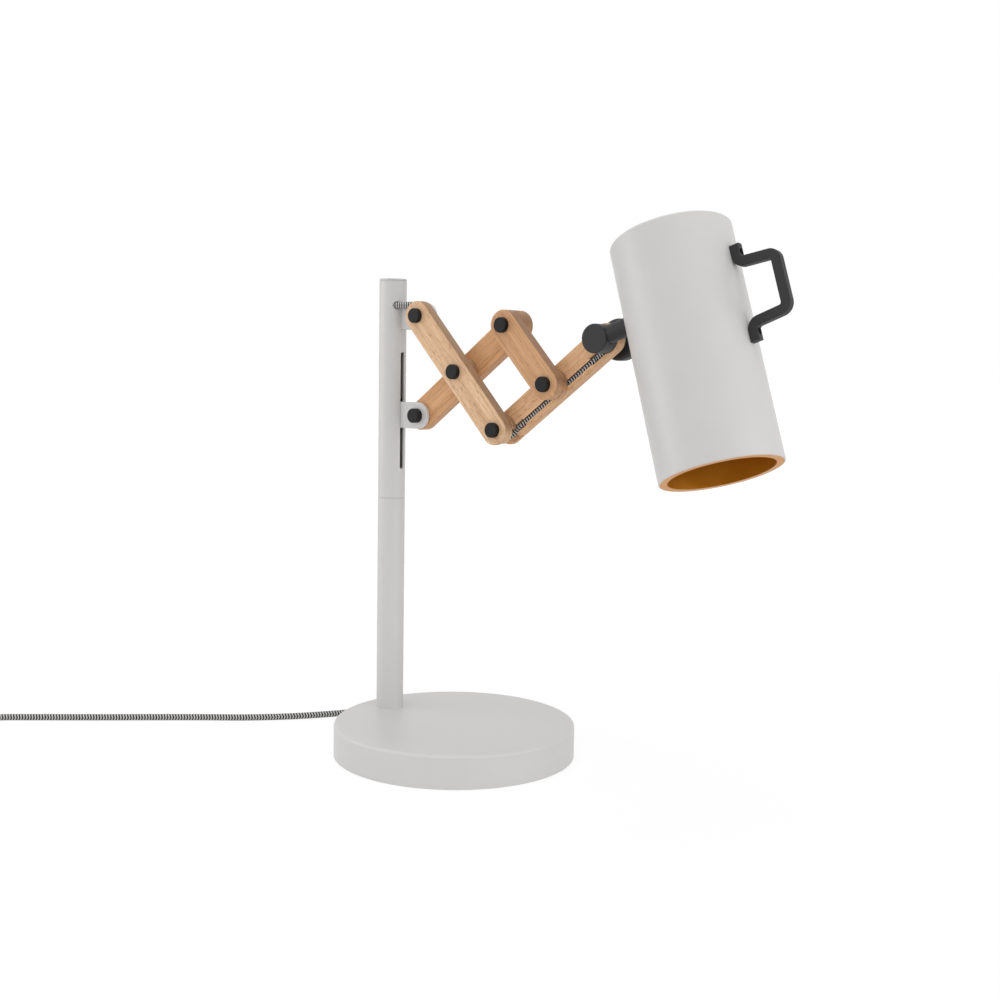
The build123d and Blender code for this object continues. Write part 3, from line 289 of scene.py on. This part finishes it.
def mix_colour(tree, factor, first, second):
    """Mix of two colours, each a tuple or a socket."""
    node = tree.nodes.new("ShaderNodeMix")
    node.data_type = "RGBA"
    tree.links.new(factor, node.inputs["Factor"])
    for socket, value in ((node.inputs["A"], first), (node.inputs["B"], second)):
        if isinstance(value, tuple):
            socket.default_value = (*value, 1)
        else:
            tree.links.new(value, socket)
    return node.outputs["Result"]


def part_of(tree, value, low, high, share):
    """Value spread over 0 to 1 and weighed."""
    return math_node(tree, "MULTIPLY", spread(tree, value, low, high), share)


def coat_group():
    """Sprayed or moulded skin: soft colour drift, fine bumps and uneven sheen."""
    tree, given, made = new_group(
        "sprayed_skin",
        [("Vector", "NodeSocketVector"), ("Grain", "NodeSocketFloat"), ("Colour", "NodeSocketColor"),
         ("Drift", "NodeSocketColor"), ("Rough Low", "NodeSocketFloat"), ("Rough High", "NodeSocketFloat")],
        SKIN_OUTPUTS,
    )
    grain = noise(tree, given.outputs["Vector"], given.outputs["Grain"], 2.0, 0.5)
    cloud_scale = math_node(tree, "MULTIPLY", given.outputs["Grain"], 0.012)
    cloud = noise(tree, given.outputs["Vector"], cloud_scale, 3.0, 0.5)
    speck = spread(tree, grain, 0.60, 0.78)
    veil = math_node(tree, "ADD", part_of(tree, cloud, 0.32, 0.68, 0.75),
                     math_node(tree, "MULTIPLY", speck, 0.25))
    colour = mix_colour(tree, veil, given.outputs["Colour"], given.outputs["Drift"])
    rough = spread(tree, cloud, 0.3, 0.7, given.outputs["Rough Low"], given.outputs["Rough High"])
    tree.links.new(colour, made.inputs["Colour"])
    tree.links.new(rough, made.inputs["Roughness"])
    tree.links.new(grain, made.inputs["Height"])
    return tree


def oak_group():
    """Oak along the vector's X: growth bands, long fibres, short dark pores and painted shade on narrow
    faces.
    """
    tree, given, made = new_group(
        "oak_grain",
        [("Vector", "NodeSocketVector"), ("Light", "NodeSocketColor"), ("Dark", "NodeSocketColor"),
         ("Pore", "NodeSocketColor"), ("Side", "NodeSocketColor"), ("Normal", "NodeSocketVector")],
        SKIN_OUTPUTS,
    )

    def stretched(along, across):
        node = tree.nodes.new("ShaderNodeMapping")
        node.inputs["Scale"].default_value = (along, across, across)
        tree.links.new(given.outputs["Vector"], node.inputs["Vector"])
        return node.outputs["Vector"]

    band = noise(tree, stretched(*OAK_BAND), 1.0, 3.0, 0.55)
    fibre = noise(tree, stretched(*OAK_FIBRE), 1.0, 3.0, 0.6)
    pore = noise(tree, stretched(*OAK_PORE), 1.0, 2.0, 0.5)
    flame = noise(tree, stretched(*OAK_FLAME), 1.0, 2.0, 0.5)
    shade = math_node(tree, "ADD", part_of(tree, band, 0.34, 0.66, BAND_SHARE),
                      part_of(tree, fibre, 0.38, 0.64, FIBRE_SHARE))
    shade = math_node(tree, "ADD", shade, part_of(tree, flame, 0.35, 0.7, FLAME_SHARE))
    body = mix_colour(tree, shade, given.outputs["Light"], given.outputs["Dark"])
    pits = math_node(tree, "MULTIPLY", spread(tree, pore, 0.57, 0.66), spread(tree, band, 0.34, 0.58))
    # Painted shade: narrow faces are darkened, fully where they face up and only a little where they face
    # down
    facing = tree.nodes.new("ShaderNodeSeparateXYZ")
    tree.links.new(given.outputs["Normal"], facing.inputs[0])
    broad = math_node(tree, "ABSOLUTE", facing.outputs["Y"])
    narrow = spread(tree, broad, 0.35, 0.85, PAINTED_SHADE_DEPTH, 0.0)
    painted_shade = math_node(tree, "MULTIPLY", narrow, spread(tree, facing.outputs["Z"], -0.3, 0.3, UNDERSIDE_SHADE_SHARE, 1.0))
    shaded_wood = mix_colour(tree, painted_shade, body, given.outputs["Side"])
    colour = mix_colour(tree, math_node(tree, "MULTIPLY", pits, PORE_DEPTH), shaded_wood, given.outputs["Pore"])
    tree.links.new(colour, made.inputs["Colour"])
    tree.links.new(spread(tree, shade, 0.0, 1.0, 0.46, 0.62), made.inputs["Roughness"])
    height = math_node(tree, "SUBTRACT", math_node(tree, "MULTIPLY", fibre, 0.35),
                       math_node(tree, "MULTIPLY", pits, 0.65))
    tree.links.new(height, made.inputs["Height"])
    return tree


def braid_group():
    """Textile braid from the cord's own attribute: cosine and sine around it, and metres along it."""
    tree, given, made = new_group(
        "zigzag_braid",
        [("Around Along", "NodeSocketVector"), ("Rows", "NodeSocketFloat"), ("Repeat", "NodeSocketFloat"),
         ("Dark", "NodeSocketColor"), ("Pale", "NodeSocketColor")],
        SKIN_OUTPUTS,
    )

    def wave(value):
        turned = math_node(tree, "MULTIPLY", value, 2 * math.pi)
        return math_node(tree, "ABSOLUTE", math_node(tree, "SINE", turned))

    split = tree.nodes.new("ShaderNodeSeparateXYZ")
    tree.links.new(given.outputs["Around Along"], split.inputs[0])
    angle = math_node(tree, "ARCTAN2", split.outputs["Y"], split.outputs["X"])
    turn = math_node(tree, "DIVIDE", angle, 2 * math.pi)
    rows = math_node(tree, "MULTIPLY", turn, given.outputs["Rows"])
    along = math_node(tree, "DIVIDE", split.outputs["Z"], given.outputs["Repeat"])
    slant = math_node(tree, "MULTIPLY", math_node(tree, "PINGPONG", rows, 0.5), BRAID_SLANT)
    zigzag = math_node(tree, "FRACT", math_node(tree, "ADD", along, slant))
    stripe = math_node(tree, "ABSOLUTE", math_node(tree, "SUBTRACT", zigzag, 0.5))
    pale = spread(tree, stripe, 0.25, 0.31)
    yarn = math_node(tree, "POWER", wave(rows), 0.5)
    stitch = math_node(tree, "POWER", wave(zigzag), 0.5)
    relief = math_node(tree, "MULTIPLY", yarn, stitch)
    # Painted shade: the pale yarns turn grey where they dip into the gaps between rows and stitches
    shaded_pale = mix_colour(tree, spread(tree, relief, 0.0, 0.35), BRAID_GAP_SHADE, given.outputs["Pale"])
    colour = mix_colour(tree, pale, given.outputs["Dark"], shaded_pale)
    tree.links.new(colour, made.inputs["Colour"])
    tree.links.new(spread(tree, relief, 0.0, 1.0, 0.95, 0.78), made.inputs["Roughness"])
    tree.links.new(relief, made.inputs["Height"])
    return tree


groups = {"coat": coat_group(), "oak": oak_group(), "braid": braid_group()}


def place_group(tree, key, values, vector):
    """Puts a shared group into a material with its own values."""
    node = tree.nodes.new("ShaderNodeGroup")
    node.node_tree = groups[key]
    for label, value in values.items():
        node.inputs[label].default_value = (*value, 1) if isinstance(value, tuple) else value
    tree.links.new(vector, node.inputs[0])
    return node


def join_skin(tree, shader, skin, strength, distance):
    """Colour, roughness and bump of a shared group, wired to the shader."""
    bump = tree.nodes.new("ShaderNodeBump")
    bump.inputs["Strength"].default_value = strength
    bump.inputs["Distance"].default_value = distance
    tree.links.new(skin.outputs["Colour"], shader.inputs["Base Color"])
    tree.links.new(skin.outputs["Roughness"], shader.inputs["Roughness"])
    tree.links.new(skin.outputs["Height"], bump.inputs["Height"])
    tree.links.new(bump.outputs["Normal"], shader.inputs["Normal"])


def object_vector(tree):
    """Coordinates in the object's own frame."""
    return tree.nodes.new("ShaderNodeTexCoord").outputs["Object"]


def coat(name, colour, drift, rough, grain=2200.0, bump=0.12, metal=0.0, shine=0.5):
    """Painted, cast or moulded finish."""
    material, tree, shader = finish(name)
    values = {"Grain": grain, "Colour": colour, "Drift": drift,
              "Rough Low": rough[0], "Rough High": rough[1]}
    skin = place_group(tree, "coat", values, object_vector(tree))
    join_skin(tree, shader, skin, bump, 0.0002)
    shader.inputs["Metallic"].default_value = metal
    shader.inputs["Specular IOR Level"].default_value = shine
    return material


def oak(name, slope, shift, light, dark):
    """Oiled oak whose fibres run along a bar of the given slope."""
    material, tree, shader = finish(name)
    turn = tree.nodes.new("ShaderNodeMapping")
    turn.inputs["Rotation"].default_value = (0, math.radians(slope), 0)
    turn.inputs["Location"].default_value = shift
    tree.links.new(object_vector(tree), turn.inputs["Vector"])
    values = {"Light": light, "Dark": dark, "Pore": PORE_COLOUR, "Side": PAINTED_SHADE_COLOUR}
    skin = place_group(tree, "oak", values, turn.outputs["Vector"])
    tree.links.new(tree.nodes.new("ShaderNodeTexCoord").outputs["Normal"], skin.inputs["Normal"])
    join_skin(tree, shader, skin, 0.25, 0.0003)
    shader.inputs["Specular IOR Level"].default_value = 0.35
    return material


def braid_material():
    """Black and white textile sleeve."""
    material, tree, shader = finish("textile_braid")
    sleeve = tree.nodes.new("ShaderNodeAttribute")
    sleeve.attribute_name = "braid"
    values = {"Rows": BRAID_ROWS, "Repeat": BRAID_REPEAT, "Dark": BRAID_DARK, "Pale": BRAID_PALE}
    skin = place_group(tree, "braid", values, sleeve.outputs["Vector"])
    join_skin(tree, shader, skin, 0.6, 0.0004)
    shader.inputs["Sheen Weight"].default_value = 0.2
    return material


def opal_material():
    """Opal bulb glass."""
    material, tree, shader = finish("opal_glass")
    cloud = noise(tree, object_vector(tree), 90.0, 2.0)
    colour = mix_colour(tree, cloud, (0.86, 0.85, 0.81), (0.93, 0.92, 0.89))
    tree.links.new(colour, shader.inputs["Base Color"])
    tree.links.new(spread(tree, cloud, 0.3, 0.7, 0.22, 0.34), shader.inputs["Roughness"])
    shader.inputs["Subsurface Weight"].default_value = 0.2
    shader.inputs["Subsurface Radius"].default_value = (0.004, 0.004, 0.004)
    return material


finishes = {
    "light_coat": coat("light_powder_coat", (0.606, 0.597, 0.586), (0.626, 0.617, 0.606), (0.38, 0.46)),
    "gold_coat": coat("gold_lacquer", (0.53, 0.207, 0.009), (0.605, 0.260, 0.025), (0.30, 0.42),
                      metal=0.60, shine=0.3),
    "black_coat": coat("black_powder_coat", (0.022, 0.022, 0.023), (0.032, 0.032, 0.033), (0.44, 0.56),
                       shine=0.28),
    "black_pin": coat("black_pin_lacquer", (0.010, 0.010, 0.010), (0.016, 0.016, 0.016), (0.42, 0.54),
                      shine=0.16),
    "zinc_steel": coat("zinc_plate", (0.50, 0.51, 0.53), (0.60, 0.61, 0.62), (0.28, 0.42),
                       grain=900.0, bump=0.08, metal=1.0),
    "grey_iron": coat("raw_iron", (0.10, 0.10, 0.10), (0.16, 0.155, 0.15), (0.6, 0.8),
                      grain=600.0, bump=0.5, metal=0.6),
    "dark_foam": coat("foam_pad", (0.020, 0.020, 0.022), (0.035, 0.035, 0.037), (0.85, 0.95),
                      grain=1500.0, bump=0.7),
    "shoe_nylon": coat("nylon_shoe", (0.030, 0.030, 0.030), (0.045, 0.045, 0.045), (0.5, 0.6)),
    "black_plastic": coat("black_moulding", (0.020, 0.020, 0.021), (0.030, 0.030, 0.031), (0.46, 0.60),
                          grain=1800.0, bump=0.2),
    "rocker_plastic": coat("rocker_moulding", (0.016, 0.016, 0.017), (0.024, 0.024, 0.025), (0.22, 0.32),
                           grain=1800.0, bump=0.05),
    "plug_metal": coat("nickel_plate", (0.66, 0.64, 0.60), (0.74, 0.72, 0.68), (0.20, 0.30),
                       grain=900.0, bump=0.04, metal=1.0),
    "opal_glass": opal_material(),
    "braid": braid_material(),
}
# Each bar is cut from another place in the wood
bar_oak = {
    "upper_bar": oak("oak_upper_bar", -BAR_DROP, (0.0, 0.0, 0.0),
                     (0.90, 0.620, 0.395), (0.58, 0.335, 0.175)),
    "short_bar": oak("oak_short_bar", -BAR_DROP, (0.37, 0.11, 0.05),
                     (0.70, 0.405, 0.210), (0.45, 0.212, 0.090)),
    "cross_bar": oak("oak_cross_bar", BAR_RISE, (0.71, 0.23, 0.12),
                     (0.76, 0.430, 0.215), (0.47, 0.217, 0.087)),
    "neck_bar": oak("oak_neck_bar", BAR_RISE, (1.13, 0.31, 0.19),
                    (0.90, 0.570, 0.320), (0.57, 0.300, 0.140)),
}
bar_oak["upper_spacers"] = bar_oak["upper_bar"]
bar_oak["short_spacers"] = bar_oak["short_bar"]


def dress_solids():
    """Gives every solid the finish of its slot."""
    for subpart in frame["record"]["subparts"]:
        name = subpart["node"]
        material = bar_oak.get(name) or finishes[subpart["material_slot"]]
        mesh = nodes[name].data
        mesh.materials.clear()
        mesh.materials.append(material)


# Cords

CORD_DIAMETER = 0.0056
# Mesh of the sleeves: steps along the cord on the floor, on the arm and in the pole, and sides round it
# where it shows and in the pole
FLOOR_STEP = 0.0009
ARM_STEP = 0.0006
POLE_STEP = 0.003
SLEEVE_SIDES = 16
POLE_SIDES = 8


def on_bar(start, slope, along, aside, depth):
    """Point along a bar from one of its pivots, square to the bar and at a depth."""
    turn = math.radians(slope)
    return (start[0] + along * math.cos(turn) - aside * math.sin(turn), depth,
            start[1] + along * math.sin(turn) + aside * math.cos(turn))


def around(pivot, radius, angle, depth):
    """Point at a distance and an angle from a pivot, at a depth."""
    turn = math.radians(angle)
    return (pivot[0] + radius * math.cos(turn), depth, pivot[1] + radius * math.sin(turn))


def cord_line(name, points):
    """Smooth line with the route's points as its control points."""
    data = bpy.data.curves.new(name + "_line", "CURVE")
    data.dimensions = "3D"
    data.resolution_u = 10
    line = data.splines.new("NURBS")
    line.points.add(len(points) - 1)
    for place, point in zip(line.points, points):
        place.co = (*point, 1)
    line.order_u = 3
    line.use_endpoint_u = True
    curve = bpy.data.objects.new(name + "_line", data)
    scene.collection.objects.link(curve)
    return curve


def sleeve_tree():
    """Geometry Nodes: a braided sleeve along a line, with its braid attribute stored on the mesh."""
    tree = bpy.data.node_groups.new("braided_sleeve", "GeometryNodeTree")
    for label, kind in (("Line", "NodeSocketGeometry"), ("Diameter", "NodeSocketFloat"),
                        ("Step", "NodeSocketFloat"), ("Sides", "NodeSocketInt"),
                        ("Material", "NodeSocketMaterial")):
        tree.interface.new_socket(name=label, in_out="INPUT", socket_type=kind)
    tree.interface.new_socket(name="Sleeve", in_out="OUTPUT", socket_type="NodeSocketGeometry")
    make = tree.nodes.new
    link = tree.links.new
    given, made = make("NodeGroupInput"), make("NodeGroupOutput")
    evened = make("GeometryNodeResampleCurve")
    evened.mode = "LENGTH"
    link(given.outputs["Line"], evened.inputs["Curve"])
    link(given.outputs["Step"], evened.inputs["Length"])
    along = make("GeometryNodeSplineParameter")
    hold_along = make("GeometryNodeCaptureAttribute")
    hold_along.capture_items.new("FLOAT", "Along")
    link(evened.outputs["Curve"], hold_along.inputs["Geometry"])
    link(along.outputs["Length"], hold_along.inputs["Along"])
    ring = make("GeometryNodeCurvePrimitiveCircle")
    link(math_node(tree, "MULTIPLY", given.outputs["Diameter"], 0.5), ring.inputs["Radius"])
    link(given.outputs["Sides"], ring.inputs["Resolution"])
    share = make("GeometryNodeSplineParameter")
    hold_share = make("GeometryNodeCaptureAttribute")
    hold_share.capture_items.new("FLOAT", "Around")
    link(ring.outputs["Curve"], hold_share.inputs["Geometry"])
    link(share.outputs["Factor"], hold_share.inputs["Around"])
    tube = make("GeometryNodeCurveToMesh")
    tube.inputs["Fill Caps"].default_value = True
    link(hold_along.outputs["Geometry"], tube.inputs["Curve"])
    link(hold_share.outputs["Geometry"], tube.inputs["Profile Curve"])
    turn = math_node(tree, "MULTIPLY", hold_share.outputs["Around"], 2 * math.pi)
    packed = make("ShaderNodeCombineXYZ")
    link(math_node(tree, "COSINE", turn), packed.inputs["X"])
    link(math_node(tree, "SINE", turn), packed.inputs["Y"])
    link(hold_along.outputs["Along"], packed.inputs["Z"])
    store = make("GeometryNodeStoreNamedAttribute")
    store.data_type = "FLOAT_VECTOR"
    store.domain = "POINT"
    store.inputs["Name"].default_value = "braid"
    link(tube.outputs["Mesh"], store.inputs["Geometry"])
    link(packed.outputs[0], store.inputs["Value"])
    smooth = make("GeometryNodeSetShadeSmooth")
    link(store.outputs["Geometry"], smooth.inputs["Geometry"])
    realized = make("GeometryNodeRealizeInstances")
    link(smooth.outputs["Geometry"], realized.inputs["Geometry"])
    dressed = make("GeometryNodeSetMaterial")
    link(realized.outputs["Geometry"], dressed.inputs["Geometry"])
    link(given.outputs["Material"], dressed.inputs["Material"])
    link(dressed.outputs["Geometry"], made.inputs["Sleeve"])
    return tree


braided_sleeve = sleeve_tree()


def set_input(modifier, label, value):
    """Sets a modifier's input by its socket's identifier."""
    for item in modifier.node_group.interface.items_tree:
        if item.item_type == "SOCKET" and item.in_out == "INPUT" and item.name == label:
            modifier[item.identifier] = value


def braided_cord(name, points, replaced, step=ARM_STEP, sides=SLEEVE_SIDES):
    """Braided sleeve along a route; returns the piece and the points of its line."""
    curve = cord_line(name, points)
    scene.view_layers[0].update()
    plain = bpy.data.meshes.new_from_object(curve.evaluated_get(bpy.context.evaluated_depsgraph_get()))
    path = [tuple(vertex.co) for vertex in plain.vertices]
    bpy.data.meshes.remove(plain)
    modifier = curve.modifiers.new("sleeve", "NODES")
    modifier.node_group = braided_sleeve
    set_input(modifier, "Diameter", CORD_DIAMETER)
    set_input(modifier, "Step", step)
    set_input(modifier, "Sides", sides)
    set_input(modifier, "Material", finishes["braid"])
    depsgraph = bpy.context.evaluated_depsgraph_get()
    mesh = bpy.data.meshes.new_from_object(curve.evaluated_get(depsgraph), depsgraph=depsgraph)
    bpy.data.objects.remove(curve)
    mesh.name = name
    piece = bpy.data.objects.new(name, mesh)
    scene.collection.objects.link(piece)
    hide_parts(*replaced)
    return piece, path


# Arm pivots in the XZ plane and the neck's slope in degrees, as in the part's source
FIXED_PIVOT = (-0.0362, 0.3618)
LOW_PIVOT = (0.0455912, 0.271818)
NECK_PIVOT = (0.1389702, 0.3436317)
NECK_ANGLE = 20.2

# Depths of the cord on the upper bar, on the neck bar and in the neck, and its distance from the middle
# line of a bar
UPPER_DEPTH = -0.00525
LOWER_DEPTH = 0.00625
NECK_DEPTH = -0.00565
GROOVE = 0.0062

# Upper bar, along it from a pivot: the cord's crest over the fixed pivot with its distance aside, its way
# down, the start of its length on the bar with its distance aside, where it has crossed the bar, and its
# end before the low pivot
CREST = (-0.0055, 0.0074)
FALL = 0.010
UPPER_START = (0.016, GROOVE - 0.002325)
CROSSED = 0.042
UPPER_END = -0.015

# Low pivot: how near to it the cord stays in its groove, and its way under the pivot
ELBOW_REACH = 0.004
ELBOW_RADIUS = 0.0085
ELBOW_ANGLE = 265.0

# Neck bar and barrel: the cord's start after the low pivot and end before the neck's, both along the bar,
# its way into the barrel and round the neck's pivot
LOWER_START = 0.015
LOWER_END = -0.016
BARREL_ENTRY = -0.0008
BARREL_RADIUS = 0.0061
BARREL_ANGLE = NECK_ANGLE - 55.0

# Neck, along it from the pivot: into the stub, straight in it, and at the lampholder
STUB_IN = 0.0154
STUB_ON = 0.0244
HOLDER = 0.0682

# Cord outlet in the pole, and the cord's point behind it, where its length over the fixed pivot starts
OUTLET = (-0.063, UPPER_DEPTH, on_bar(FIXED_PIVOT, -BAR_DROP, *CREST, 0)[2])
INSIDE = (OUTLET[0] - 0.009, OUTLET[1], OUTLET[2])

# Cord in the foot and the pole, past the joiner and the slider's shoe
POLE_X = -0.073
JOINER_X = POLE_X - 0.0046
SHOE_X = -0.0799
FOOT_Z = 0.007
POLE_ROUTE = [
    (-0.0880, 0.0269, FOOT_Z), (-0.0760, 0.0232, FOOT_Z), (POLE_X, 0, FOOT_Z), (POLE_X, 0, 0.062),
    (JOINER_X, 0, 0.1642), (JOINER_X, 0, 0.2212), (SHOE_X, 0, 0.2392), (SHOE_X, 0, OUTLET[2] - 0.028),
    (POLE_X - 0.0003, UPPER_DEPTH, OUTLET[2]), INSIDE,
]


def arm_cords():
    """The cord from the pole along the arm to the shade: lengths that ride on the bars, the neck and the
    pole, and lengths over the pivots and through the barrel that stay where they are.
    """

    def on_upper(pivot, along, aside):
        return on_bar(pivot, -BAR_DROP, along, aside, UPPER_DEPTH)

    def on_lower(pivot, along):
        return on_bar(pivot, BAR_RISE, along, -GROOVE, LOWER_DEPTH)

    slope = math.radians(NECK_ANGLE)
    neck = Vector((NECK_PIVOT[0], NECK_DEPTH, NECK_PIVOT[1]))
    neck_dir = Vector((math.cos(slope), 0, math.sin(slope)))

    def on_neck(along):
        return tuple(neck + neck_dir * along)

    upper_start = on_upper(FIXED_PIVOT, *UPPER_START)
    upper_end = on_upper(LOW_PIVOT, UPPER_END, -GROOVE)
    lower_start = on_lower(LOW_PIVOT, LOWER_START)
    lower_end = on_lower(NECK_PIVOT, LOWER_END)

    crest = on_upper(FIXED_PIVOT, *CREST)
    fall = on_upper(FIXED_PIVOT, FALL, GROOVE)
    bridge_route = [INSIDE, OUTLET, crest, fall, upper_start]
    bridge, _ = braided_cord("cord_over_fixed_pivot", bridge_route, ["cord_to_arm"])
    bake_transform(bridge)

    crossed = on_upper(FIXED_PIVOT, CROSSED, -GROOVE)
    upper, _ = braided_cord("cord_in_upper_bar", [upper_start, crossed, upper_end], ["upper_cord"])
    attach(upper, "upper_link")

    elbow_route = [
        upper_end, on_upper(LOW_PIVOT, -ELBOW_REACH, -GROOVE),
        around(LOW_PIVOT, ELBOW_RADIUS, ELBOW_ANGLE, 0.0), on_lower(LOW_PIVOT, ELBOW_REACH), lower_start,
    ]
    elbow, _ = braided_cord("cord_round_low_pivot", elbow_route, ["elbow_cord"])
    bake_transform(elbow)

    lower, _ = braided_cord("cord_in_neck_bar", [lower_start, lower_end], ["lower_cord"])
    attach(lower, "neck_link")

    stub_in = on_neck(STUB_IN)
    stub_on = on_neck(STUB_ON)
    feed_route = [
        lower_end, on_lower(NECK_PIVOT, BARREL_ENTRY),
        around(NECK_PIVOT, BARREL_RADIUS, BARREL_ANGLE, NECK_DEPTH), stub_in, stub_on,
    ]
    feed, _ = braided_cord("cord_through_barrel", feed_route, ["neck_cord"])
    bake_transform(feed)

    head, _ = braided_cord("cord_to_lampholder", [stub_on, on_neck(HOLDER)], ["head_cord"], FLOOR_STEP)
    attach(head, "neck")

    riser, _ = braided_cord("cord_in_pole", POLE_ROUTE, ["pole_cord"], POLE_STEP, POLE_SIDES)
    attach(riser, "foot_and_pole")


# Height of a cord's middle on the floor and in the switch, and the switch's heading, length and entry
FLOOR_LINE = 0.0029
SWITCH_Z = 0.0085
SWITCH_HEADING = 328.8
SWITCH_LENGTH = 0.062
SWITCH_ENTRY = (-0.3229, -0.2673)

# Strain relief: heading in degrees and distances from the foot's middle
RELIEF_HEADING = 163.0
RELIEF_REACH = (0.114, 0.122)

# Cord from the strain relief over the floor to the switch
FLOOR_ROUTE = [
    (-0.1272, 0.0356, 0.0060), (-0.1366, 0.0323, 0.0045), (-0.1445, 0.0261, 0.0033),
    (-0.1546, 0.0117, FLOOR_LINE), (-0.1709, -0.0125, FLOOR_LINE), (-0.1889, -0.0333, FLOOR_LINE),
    (-0.2080, -0.0522, FLOOR_LINE), (-0.2295, -0.0692, FLOOR_LINE), (-0.2620, -0.0975, FLOOR_LINE),
    (-0.3000, -0.1315, FLOOR_LINE), (-0.3440, -0.1695, FLOOR_LINE), (-0.3715, -0.1933, FLOOR_LINE),
    (-0.3779, -0.2090, FLOOR_LINE), (-0.3765, -0.2259, FLOOR_LINE), (-0.3675, -0.2403, FLOOR_LINE),
    (-0.3520, -0.2495, 0.0039), (-0.3349, -0.2600, SWITCH_Z), (*SWITCH_ENTRY, SWITCH_Z),
]

# Coil: turns in each of its two layers, radii, pitch, rise to the upper layer and points to a turn
COIL_TURNS = 3
COIL_INNER = 0.024
COIL_PITCH = 0.0072
COIL_OUTER = COIL_INNER + COIL_TURNS * COIL_PITCH
COIL_RISE = 0.0063
COIL_POINTS = 16

# Leads of the coil: distance to the switch, straight run, way down to the floor, start of the first turn,
# start of the lead to the plug, and its end
COIL_LEAD = 0.046
LEAD_STRAIGHT = 0.009
LEAD_DOWN = 0.027
LEAD_END = -0.010
EXIT_START = 0.012
PLUG_LEAD = 0.042

# Strap round the coil: width, points round it, squareness, and its inner and outer side, each as two
# distances from the coil's inner radius and two heights
TIE_WIDTH = 0.009
TIE_POINTS = 48
TIE_SQUARENESS = 0.3
TIE_INNER = (-0.0032, 0.0212, 0.00006, 0.0123)
TIE_OUTER = (-0.0039, 0.0219, 0.0, 0.0130)


def coil_axes():
    """Directions along and beside the switch, and the coil's centre on the floor."""
    heading = math.radians(SWITCH_HEADING)
    ahead = Vector((math.cos(heading), math.sin(heading), 0))
    aside = Vector((-math.sin(heading), math.cos(heading), 0))
    centre = Vector((*SWITCH_ENTRY, 0)) + ahead * (SWITCH_LENGTH + COIL_LEAD) - aside * COIL_OUTER
    return ahead, aside, centre


def tie_outline(near, far, low, high):
    """Rounded rectangle round the bundle of turns, as distances from the coil's centre and heights."""
    near_radius = COIL_INNER + near
    far_radius = COIL_INNER + far
    outline = []
    for k in range(TIE_POINTS):
        turn = 2 * math.pi * k / TIE_POINTS
        sides = (math.cos(turn), math.sin(turn))
        across, up = (math.copysign(abs(side) ** TIE_SQUARENESS, side) for side in sides)
        radius = (near_radius + far_radius + (far_radius - near_radius) * across) / 2
        outline.append((radius, (low + high + (high - low) * up) / 2))
    return outline


def coil_tie():
    """Strap round all the turns, on the side away from the plug."""
    ahead, aside, centre = coil_axes()
    inner_side = tie_outline(*TIE_INNER)
    outer_side = tie_outline(*TIE_OUTER)
    corners = []
    for outline, shift in ((inner_side, -0.5), (inner_side, 0.5), (outer_side, 0.5), (outer_side, -0.5)):
        for radius, height in outline:
            corners.append(centre - aside * radius + ahead * (shift * TIE_WIDTH) + Vector((0, 0, height)))
    faces = []
    for loop in range(4):
        for k in range(TIE_POINTS):
            here, there = loop * TIE_POINTS, (loop + 1) % 4 * TIE_POINTS
            after = (k + 1) % TIE_POINTS
            faces.append((here + k, here + after, there + after, there + k))
    mesh = bpy.data.meshes.new("coil_tie")
    mesh.from_pydata(corners, [], faces)
    mesh.materials.append(finishes["black_plastic"])
    tie = bpy.data.objects.new("coil_tie", mesh)
    scene.collection.objects.link(tie)
    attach(tie, "foot_and_pole")
    return tie


def mains_route():
    """Control points of the mains cord: strain relief, floor, switch, coil and plug."""
    relief = Vector((math.cos(math.radians(RELIEF_HEADING)), math.sin(math.radians(RELIEF_HEADING)), 0))
    route = [tuple(relief * radius + Vector((0, 0, FOOT_Z))) for radius in RELIEF_REACH]
    route += FLOOR_ROUTE
    ahead, aside, centre = coil_axes()

    def local(x, y, z):
        return tuple(centre + ahead * x + aside * y + Vector((0, 0, z)))

    route += [
        local(-COIL_LEAD, COIL_OUTER, SWITCH_Z), local(-COIL_LEAD + LEAD_STRAIGHT, COIL_OUTER, SWITCH_Z),
        local(-COIL_LEAD + LEAD_DOWN, COIL_OUTER, FLOOR_LINE), local(LEAD_END, COIL_OUTER, FLOOR_LINE),
    ]
    # Control points lie outside the curve, so that its radius comes out as named
    bulge = 1 / math.cos(math.pi / COIL_POINTS)
    half_turn = COIL_POINTS // 2
    inward = COIL_TURNS * COIL_POINTS
    for k in range(1, 2 * inward):
        angle = math.pi / 2 - 2 * math.pi * (k / COIL_POINTS)
        climb = min(max((k - inward) / half_turn, 0.0), 1.0)
        if k <= inward:
            radius = COIL_OUTER - COIL_PITCH * k / COIL_POINTS
        elif k <= inward + half_turn:
            radius = COIL_INNER
        else:
            radius = COIL_INNER + COIL_PITCH * (k - inward - half_turn) / COIL_POINTS
        height = FLOOR_LINE + COIL_RISE * climb * climb * (3 - 2 * climb)
        route.append(local(radius * bulge * math.cos(angle), radius * bulge * math.sin(angle), height))
    exit_y = COIL_INNER + COIL_PITCH * (COIL_TURNS - 0.5)
    top_line = FLOOR_LINE + COIL_RISE
    route += [local(EXIT_START, exit_y, top_line), local(PLUG_LEAD, exit_y, top_line)]
    return route


def mains_cord():
    """The free cord on the floor, with the switch, the coil of spare length and the plug."""
    route = mains_route()
    cord, path = braided_cord("mains_cord_braid", route, ["mains_cord", "cord_coil"], FLOOR_STEP)
    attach(cord, "foot_and_pole")
    names = ("switch_base", "switch_cover", "switch_rocker", "plug_body", "plug_pins")
    carried = [nodes[name] for name in names]
    carried.append(coil_tie())


photo_camera()
studio()
dress_solids()
arm_cords()
mains_cord()
